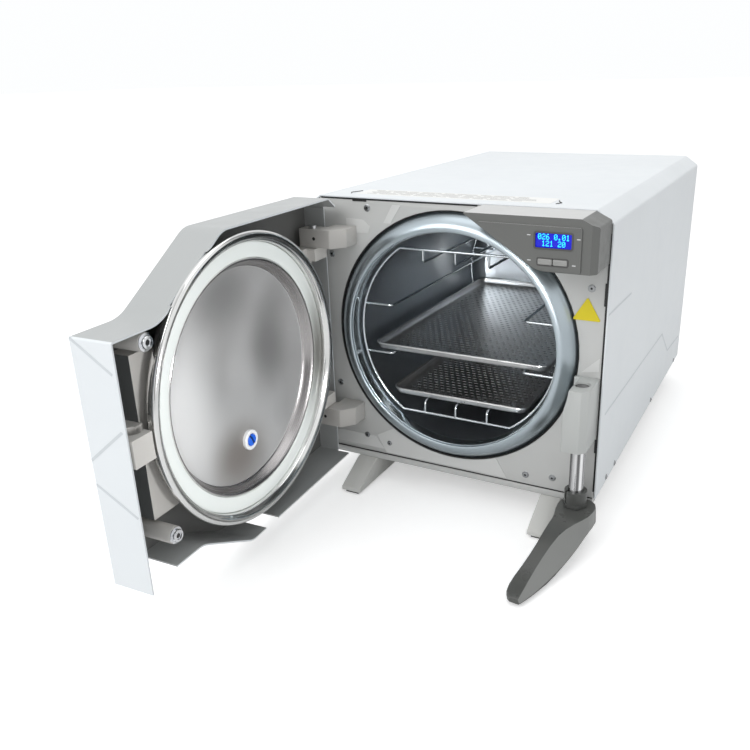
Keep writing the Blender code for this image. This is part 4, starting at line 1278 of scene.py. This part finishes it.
LEVER_STATIONS = [
    # forward, left, right, crease, top, edge, bottom
    (-0.0184, -0.0040, 0.0060, 0.0055, 0.0405, 0.0260, 0.0215),
    (-0.0165, -0.0090, 0.0135, 0.0130, 0.0410, 0.0250, 0.0210),
    (-0.0120, -0.0142, 0.0195, 0.0188, 0.0410, 0.0245, 0.0210),
    (-0.0040, -0.0180, 0.0235, 0.0226, 0.0410, 0.0240, 0.0210),
    (0.0060, -0.0180, 0.0240, 0.0230, 0.0410, 0.0235, 0.0210),
    (0.0160, -0.0160, 0.0240, 0.0222, 0.0408, 0.0232, 0.0210),
    (0.0260, -0.0133, 0.0240, 0.0190, 0.0405, 0.0230, 0.0208),
    (0.0360, -0.0118, 0.0240, 0.0145, 0.0398, 0.0222, 0.0204),
    (0.0480, -0.0114, 0.0234, 0.0098, 0.0385, 0.0200, 0.0184),
    (0.0600, -0.0116, 0.0218, 0.0060, 0.0355, 0.0172, 0.0150),
    (0.0740, -0.0121, 0.0192, 0.0032, 0.0300, 0.0136, 0.0108),
    (0.0880, -0.0133, 0.0162, 0.0012, 0.0242, 0.0102, 0.0066),
    (0.1020, -0.0150, 0.0133, 0.0000, 0.0188, 0.0078, 0.0040),
    (0.1160, -0.0167, 0.0106, -0.0004, 0.0142, 0.0064, 0.0037),
    (0.1290, -0.0166, 0.0078, 0.0002, 0.0118, 0.0056, 0.0035),
    (0.1380, -0.0148, 0.0054, 0.0008, 0.0106, 0.0052, 0.0034),
    (0.1435, -0.0112, 0.0038, 0.0012, 0.0098, 0.0050, 0.0034),
    (0.1458, -0.0082, 0.0028, 0.0012, 0.0090, 0.0052, 0.0036),
]
LEVER_CHAMFER = 0.0012
LEVER_DRAFT = 0.0010
# The material of each face round a section, the first one being the underside; 1 is painted light on
# the side facet, 2 is painted shade on the lower side and the underside
LEVER_FACES = (2, 0, 0, 0, 1, 2)


def make_lever():
    """The lever: a flat dark top that narrows to the tip, and a side that falls from a crease, with
    painted light on the side's upper facet and painted shade below it.
    """
    bm = bmesh.new()
    sections = []
    for forward, left, right, crease, top, edge, bottom in LEVER_STATIONS:
        corners = [
            (left, bottom),
            (left, top - LEVER_CHAMFER),
            (left + LEVER_CHAMFER, top),
            (crease, top),
            (right, edge),
            (right - LEVER_DRAFT, bottom),
        ]
        sections.append([bm.verts.new((x, -forward, z)) for x, z in corners])
    for near, far in zip(sections, sections[1:]):
        for i, finish in enumerate(LEVER_FACES):
            bm.faces.new((near[i - 1], near[i], far[i], far[i - 1])).material_index = finish
    bm.faces.new(sections[0])
    bm.faces.new(sections[-1])
    lever = mesh_object("lever_casting", bm)
    shade(lever.data, 28)
    bevel(lever, 0.0006, 2, 28)
    place(lever, "lever", [LEVER, LEVER_SIDE_LIGHT, LEVER_SHADE], ["lock_lever"])


COLLAR_BORE_R = 0.0083
COLLAR_R = 0.0122
COLLAR_Z = (0.0453, 0.0600)
LEDGE_R = 0.0138
LEDGE_Z = (0.0412, 0.0455)


def make_collar():
    """A split clamp ring on a six-sided ledge."""
    bore = circle((0.0, 0.0), COLLAR_BORE_R, 48)
    ring = plate("clamp_ring", [circle((0.0, 0.0), COLLAR_R, 48), bore], *COLLAR_Z, "XY")
    split = box("split", (-0.020, -0.0011, 0.0423), (-0.005, 0.0011, 0.070))
    split.data.transform(Matrix.Rotation(radians(50), 4, "Z"))
    cut(ring, split)
    place(bevel(ring, 0.0008), "lever", COLLAR, ["lock_collar"])
    ledge = plate("clamp_ledge", [circle((0.0, 0.0), LEDGE_R, 6), bore], *LEDGE_Z, "XY")
    place(bevel(ledge, 0.0005), "lever", COLLAR)


def make_lock():
    finish_node("lock_block", BLOCK, 0.0009)
    low, high = machine_box("lock_rod")
    bar = rod("rod_bar", (LOCK.x, LOCK.y, low.z), (LOCK.x, LOCK.y, high.z), 0.008, 64, 0.0007)
    place(bar, "lock_bolt", ROD_CHROME, ["lock_rod"])
    make_lever()
    make_collar()


# Controls

DISPLAY_CENTRE = (0.1351, 0.3361)
DISPLAY_SIZE = (0.0366, 0.0150)
BUTTON_Z = 0.3154
BUTTON_SLOT_HALF = (0.0152, 0.0034)
PLATEAU_RISE = 0.0014
FASCIA_SPACE_Y = -0.0265
FASCIA_FRONT_Y = FASCIA_Y + PLATEAU_RISE
# Cuts that are open towards the front end here
CUT_FRONT_Y = -0.080

DISPLAY_OUTLINE = rectangle(
    (DISPLAY_CENTRE[0] - DISPLAY_SIZE[0] / 2, DISPLAY_CENTRE[1] - DISPLAY_SIZE[1] / 2),
    (DISPLAY_CENTRE[0] + DISPLAY_SIZE[0] / 2, DISPLAY_CENTRE[1] + DISPLAY_SIZE[1] / 2),
    0.0016,
)
BUTTON_OUTLINE = rectangle(
    (DISPLAY_CENTRE[0] - BUTTON_SLOT_HALF[0], BUTTON_Z - BUTTON_SLOT_HALF[1]),
    (DISPLAY_CENTRE[0] + BUTTON_SLOT_HALF[0], BUTTON_Z + BUTTON_SLOT_HALF[1]),
    0.0014,
)


def make_fascia():
    """The fascia: a moulding with a slanted outer edge, a raised front and two openings."""
    low, high = machine_box("control_fascia")
    outline = [
        (low.x, high.z, 0.0008),
        (0.1188, low.z, 0.030),
        (high.x, low.z, 0.0015),
        (high.x, 0.3500, 0.003),
        (0.1610, high.z, 0.004),
    ]
    plateau = [
        (0.0520, 0.3502, 0.002),
        (0.1184, low.z + 0.0012, 0.029),
        (0.1625, low.z + 0.0012, 0.001),
        (0.1625, 0.3496, 0.002),
    ]
    slant = [(0.1715, -0.070), (0.1715, FASCIA_FRONT_Y), (high.x, -0.0455), (0.190, -0.0455)]
    slant.append((0.190, -0.070))
    body = plate("fascia_body", [rounded(outline)], FASCIA_FRONT_Y, -0.0004)
    cut(body, plate("slant", [slant], 0.290, 0.370, "XY"), disc_space(DISC_CLEAR_R, FASCIA_SPACE_Y))
    join(body, plate("plateau", [rounded(plateau)], FASCIA_Y, FASCIA_FRONT_Y + 0.002))
    cut(
        body,
        plate("pocket", [DISPLAY_OUTLINE], CUT_FRONT_Y, FASCIA_Y + 0.0030),
        plate("slot", [BUTTON_OUTLINE], CUT_FRONT_Y, FASCIA_Y + 0.0060),
    )
    bevel(body, 0.0005, 2, 25)
    place(body, "cabinet", FASCIA, ["control_fascia"])


def surround(name, opening, width, overlap, rise, depth):
    """A thin moulded frame round an opening in the fascia."""
    outlines = [inset(opening, -width), inset(opening, overlap)]
    return plate(name, outlines, FASCIA_Y - rise, FASCIA_Y + depth)


def make_openings():
    """The frames round the display and the buttons, and the bottom behind the buttons, painted dark as
    shade.
    """
    bezel = surround("display_bezel", DISPLAY_OUTLINE, 0.0013, 0.0004, 0.0004, 0.0026)
    place(bevel(bezel, 0.0003), "cabinet", BEZEL)
    well = plate("button_well", [inset(BUTTON_OUTLINE, 0.0001)], FASCIA_Y + 0.00575, FASCIA_Y + 0.0059)
    place(well, "cabinet", BLACK_AND_SHADE)
    edge = surround("button_surround", BUTTON_OUTLINE, 0.0009, 0.0002, 0.0002, 0.0030)
    place(bevel(edge, 0.0002, 1), "cabinet", BEZEL)
    for name in ("select_button", "confirm_button"):
        finish_node(name, BUTTON, 0.0010)
    finish_node("display_window", LCD, 0.0003)


DIGITS = {
    "0": ("01110", "10001", "10011", "10101", "11001", "10001", "01110"),
    "1": ("00100", "01100", "00100", "00100", "00100", "00100", "01110"),
    "2": ("01110", "10001", "00001", "00110", "01000", "10000", "11111"),
    "6": ("00110", "01000", "10000", "11110", "10001", "10001", "01110"),
    ".": ("00000", "00000", "00000", "00000", "00000", "01100", "01100"),
    " ": ("00000",) * 7,
}
DISPLAY_ROWS = {0.0059: "026 0.01", -0.0005: " 121 20 "}
DOT_PITCH = (0.00066, 0.00078)
DOT_SIZE = (DOT_PITCH[0] * 0.88, 0.0003, DOT_PITCH[1] * 0.88)
CHARACTER_COLUMNS = 6


def lit_dots():
    """The (x, z) places of the dots that are lit, row by row."""
    left = DISPLAY_CENTRE[0] - 4 * CHARACTER_COLUMNS * DOT_PITCH[0] + DOT_PITCH[0]
    for height, text in DISPLAY_ROWS.items():
        for index, character in enumerate(text):
            for line, bits in enumerate(DIGITS[character]):
                for column, bit in enumerate(bits):
                    if bit == "1":
                        x = left + (index * CHARACTER_COLUMNS + column) * DOT_PITCH[0]
                        yield x, DISPLAY_CENTRE[1] + height - line * DOT_PITCH[1]


def make_display_dots():
    """A two-row numeric readout made of raised square dots."""
    bm = bmesh.new()
    for x, z in lit_dots():
        made = bmesh.ops.create_cube(bm, size=1.0)["verts"]
        bmesh.ops.scale(bm, vec=DOT_SIZE, verts=made)
        bmesh.ops.translate(bm, vec=(x, FASCIA_Y + 0.0010, z), verts=made)
    dots = mesh_object("display_dots", bm, smooth=False)
    place(dots, "cabinet", LCD_DOT)


TICK_SPOTS = [(-0.0245, 0.0045), (0.0245, 0.0030), (-0.0235, -0.0200), (0.0210, -0.0222)]
TICK_HALF = (0.0017, 0.0004)


def make_fascia_ticks():
    """Small plain ticks beside the display and the buttons."""
    ticks = []
    for dx, dz in TICK_SPOTS:
        x, z = DISPLAY_CENTRE[0] + dx, DISPLAY_CENTRE[1] + dz
        mark = rectangle((x - TICK_HALF[0], z - TICK_HALF[1]), (x + TICK_HALF[0], z + TICK_HALF[1]))
        ticks.append(plate("tick", [mark], FASCIA_Y - 0.0001, FASCIA_Y + 0.0005))
    place(merged("fascia_ticks", *ticks), "cabinet", WHITE_PLASTIC)


def make_warning_plate():
    """A plain yellow triangle with rounded corners."""
    low, high = machine_box("warning_plate")
    corners = [(0.1430, low.z), (0.1730, low.z), ((low.x + high.x) / 2, high.z)]
    outline = rounded([(x, z, 0.0012) for x, z in corners])
    triangle = plate("warning_triangle", [outline], -0.0007, 0.0002)
    place(bevel(triangle, 0.0002, 1), "cabinet", YELLOW, ["warning_plate"])


# Inside and rear

INSIDE_FINISHES = (
    (PLAIN_STEEL, ("steam_generator", "pump_motor", "condenser")),
    (BRASS, ("steam_pipe", "valve_block", "safety_valve", "drain_tap_body", "heater_band")),
    (BLACK_AND_SHADE, ("vacuum_pump", "door_switch", "fan_frame", "fan_rotor", "power_inlet", "switch_frame")),
    (TANK, ("clean_water_tank", "waste_water_tank")),
    (BOARD, ("control_board",)),
    (RUBBER, ("mains_switch",)),
    (YELLOW, ("drain_tap_handle",)),
    (WHITE_PLASTIC, ("air_filter",)),
    (BLANKET, ("insulation_jacket",)),
)
GUARD_RINGS = (0.009, 0.016, 0.023, 0.030, 0.037)
GUARD_SPOKE = (0.008, 0.041)


def make_inside():
    for material, names in INSIDE_FINISHES:
        for name in names:
            finish_node(name, material, 0.0006)


def make_fan_guard():
    """Wire rings and four spokes over the fan at the rear."""
    low, high = machine_box("fan_frame")
    x, z = (low.x + high.x) / 2, (low.z + high.z) / 2
    y = DEPTH + 0.0012
    paths = []
    for radius in GUARD_RINGS:
        paths.append(([(px, y, pz) for px, pz in circle((x, z), radius, 48)], True))
    for i in range(4):
        angle = pi / 4 + i * pi / 2
        ends = [(x + r * cos(angle), y + 0.0010, z + r * sin(angle)) for r in GUARD_SPOKE]
        paths.append((ends, False))
    place(wires("fan_guard", paths, 0.0007), "cabinet", WIRE_STEEL)


# Stage

FLOOR_GLOW = 0.42
FLOOR_SINK = 0.0004


def make_stage():
    """A pale floor that is lifted to white for the camera but keeps a soft contact shadow."""
    bm = bmesh.new()
    bmesh.ops.create_grid(bm, x_segments=1, y_segments=1, size=30.0)
    floor = mesh_object("floor", bm, smooth=False)
    shader = Shader("studio_floor", (0.88, 0.88, 0.88), 0.80)
    shader.vary_roughness(shader.noise(3.0), 0.05)
    seen = shader.add("LightPath").outputs["Is Camera Ray"]
    glow = shader.add("Math", {0: seen, 1: FLOOR_GLOW}, operation="MULTIPLY")
    shader.set("Emission Color", (1.0, 1.0, 1.0, 1.0))
    shader.set("Emission Strength", glow.outputs["Value"])
    floor.data.materials.append(shader.material)
    floor.location.z = -FLOOR_SINK


DIFFUSE_LEVEL = 0.74
CARD_STOPS = (
    # position round the studio, brightness; the dips are dark cards
    (0.00, 1.0),
    (0.10, 1.0),
    (0.16, 0.55),
    (0.22, 1.0),
    (0.28, 1.0),
    (0.315, 0.06),
    (0.335, 0.06),
    (0.36, 1.0),
    (0.62, 1.0),
    (0.66, 0.25),
    (0.72, 1.0),
    (1.00, 1.0),
)


def make_world():
    """White to the camera, and a bright studio with a few upright dark cards for reflections."""
    world = bpy.data.worlds.new("studio")
    bpy.context.scene.world = world
    world.use_nodes = True
    tree = Nodes(world.node_tree)
    rays = tree.add("LightPath").outputs
    direction = tree.add("TexCoord").outputs["Generated"]
    sweep = tree.add("TexGradient", {"Vector": direction}, gradient_type="RADIAL")
    cards = tree.ramp(sweep.outputs["Fac"], CARD_STOPS)
    reflected = tree.add("Mix", {"Factor": rays["Is Glossy Ray"], "A": DIFFUSE_LEVEL, "B": cards})
    lit = reflected.outputs["Result"]
    seen = tree.add("Mix", {"Factor": rays["Is Camera Ray"], "A": lit, "B": 1.0})
    background = tree.nodes["Background"]
    tree.feed(background.inputs["Strength"], seen.outputs["Result"])
    tree.feed(background.inputs["Color"], (0.985, 0.995, 1.0, 1.0))


CHAMBER_PIECES = (
    "vessel_shell",
    "rack_wires",
    "upper_tray_sheet",
    "lower_tray_sheet",
    "flange_ring",
    "flange_lip",
)
DOOR_INSIDE_PIECES = ("disc_pressing", "gasket_ring", "arm_casting", "bushing_ring", "slotted_plug")


def make_lamp(name, kind, spot, target, watts, **settings):
    """A lamp aimed from one place at another."""
    lamp = bpy.data.lights.new(name, kind)
    lamp.energy = watts
    for setting, value in settings.items():
        setattr(lamp, setting, value)
    obj = linked(name, lamp)
    obj.location = ORIGIN + Vector(spot)
    obj.rotation_euler = (Vector(target) - Vector(spot)).to_track_quat("-Z", "Y").to_euler()
    return obj


def make_panel_lamp(name, spot, target, size, watts):
    """A rectangular lamp for the whole machine."""
    make_lamp(name, "AREA", spot, target, watts, shape="RECTANGLE", size=size[0], size_y=size[1])


def make_spot(name, spot, target, width, watts, pieces):
    """A soft lamp for a few pieces that the studio's own light reaches poorly."""
    soft = {"spot_size": radians(width), "spot_blend": 0.35, "shadow_soft_size": 0.08}
    lamp = make_lamp(name, "SPOT", spot, target, watts, **soft)
    lit = bpy.data.collections.new(f"{name}_receivers")
    for piece in pieces:
        lit.objects.link(bpy.data.objects[piece])
    lamp.light_linking.receiver_collection = lit


def make_lights():
    make_panel_lamp("key", (-0.7, -1.6, 1.5), (0.0, 0.0, 0.15), (1.4, 1.0), 14.0)
    make_panel_lamp("top", (0.0, 0.2, 1.7), (0.0, 0.2, 0.3), (1.4, 1.4), 5.0)
    mouth = (BORE_X, 0.0, BORE_Z)
    make_spot("chamber_spot", (0.20, -0.62, 0.36), mouth, 20, 26.0, CHAMBER_PIECES)
    dish = (-0.150, -0.190, 0.200)
    make_spot("door_spot", (0.55, -0.50, 0.34), dish, 26, 15.0, DOOR_INSIDE_PIECES)


CAMERA_SPOT = (0.3552, -0.7719, 0.4899)
CAMERA_TURN = (68.813, 1.409, 27.514)
CAMERA_LENS = 37.63
CAMERA_SHIFT = -0.04


def make_camera():
    camera = bpy.data.cameras.new("camera")
    camera.lens = CAMERA_LENS
    camera.sensor_width = 36.0
    camera.shift_x = CAMERA_SHIFT
    camera.clip_start = 0.02
    obj = linked("camera", camera)
    obj.location = ORIGIN + Vector(CAMERA_SPOT)
    obj.rotation_euler = [radians(turn) for turn in CAMERA_TURN]
    bpy.context.scene.camera = obj


make_casing()
make_side_lines()
make_panel()
make_screws()
make_panel_seams()
make_label_strip()
make_feet()
make_flange()
make_vessel()
make_rack()
make_tray("upper_tray", "top_tray", "upper_tray_sheet")
make_tray("lower_tray", "bottom_tray", "lower_tray_sheet")
make_door_cover()
make_cover_lines()
make_disc()
make_probe()
make_door_frame()
make_hinges()
make_lock()
make_fascia()
make_openings()
make_display_dots()
make_fascia_ticks()
make_warning_plate()
make_inside()
make_fan_guard()
make_stage()
make_world()
make_lights()
make_camera()
bpy.context.scene.view_settings.view_transform = "Standard"
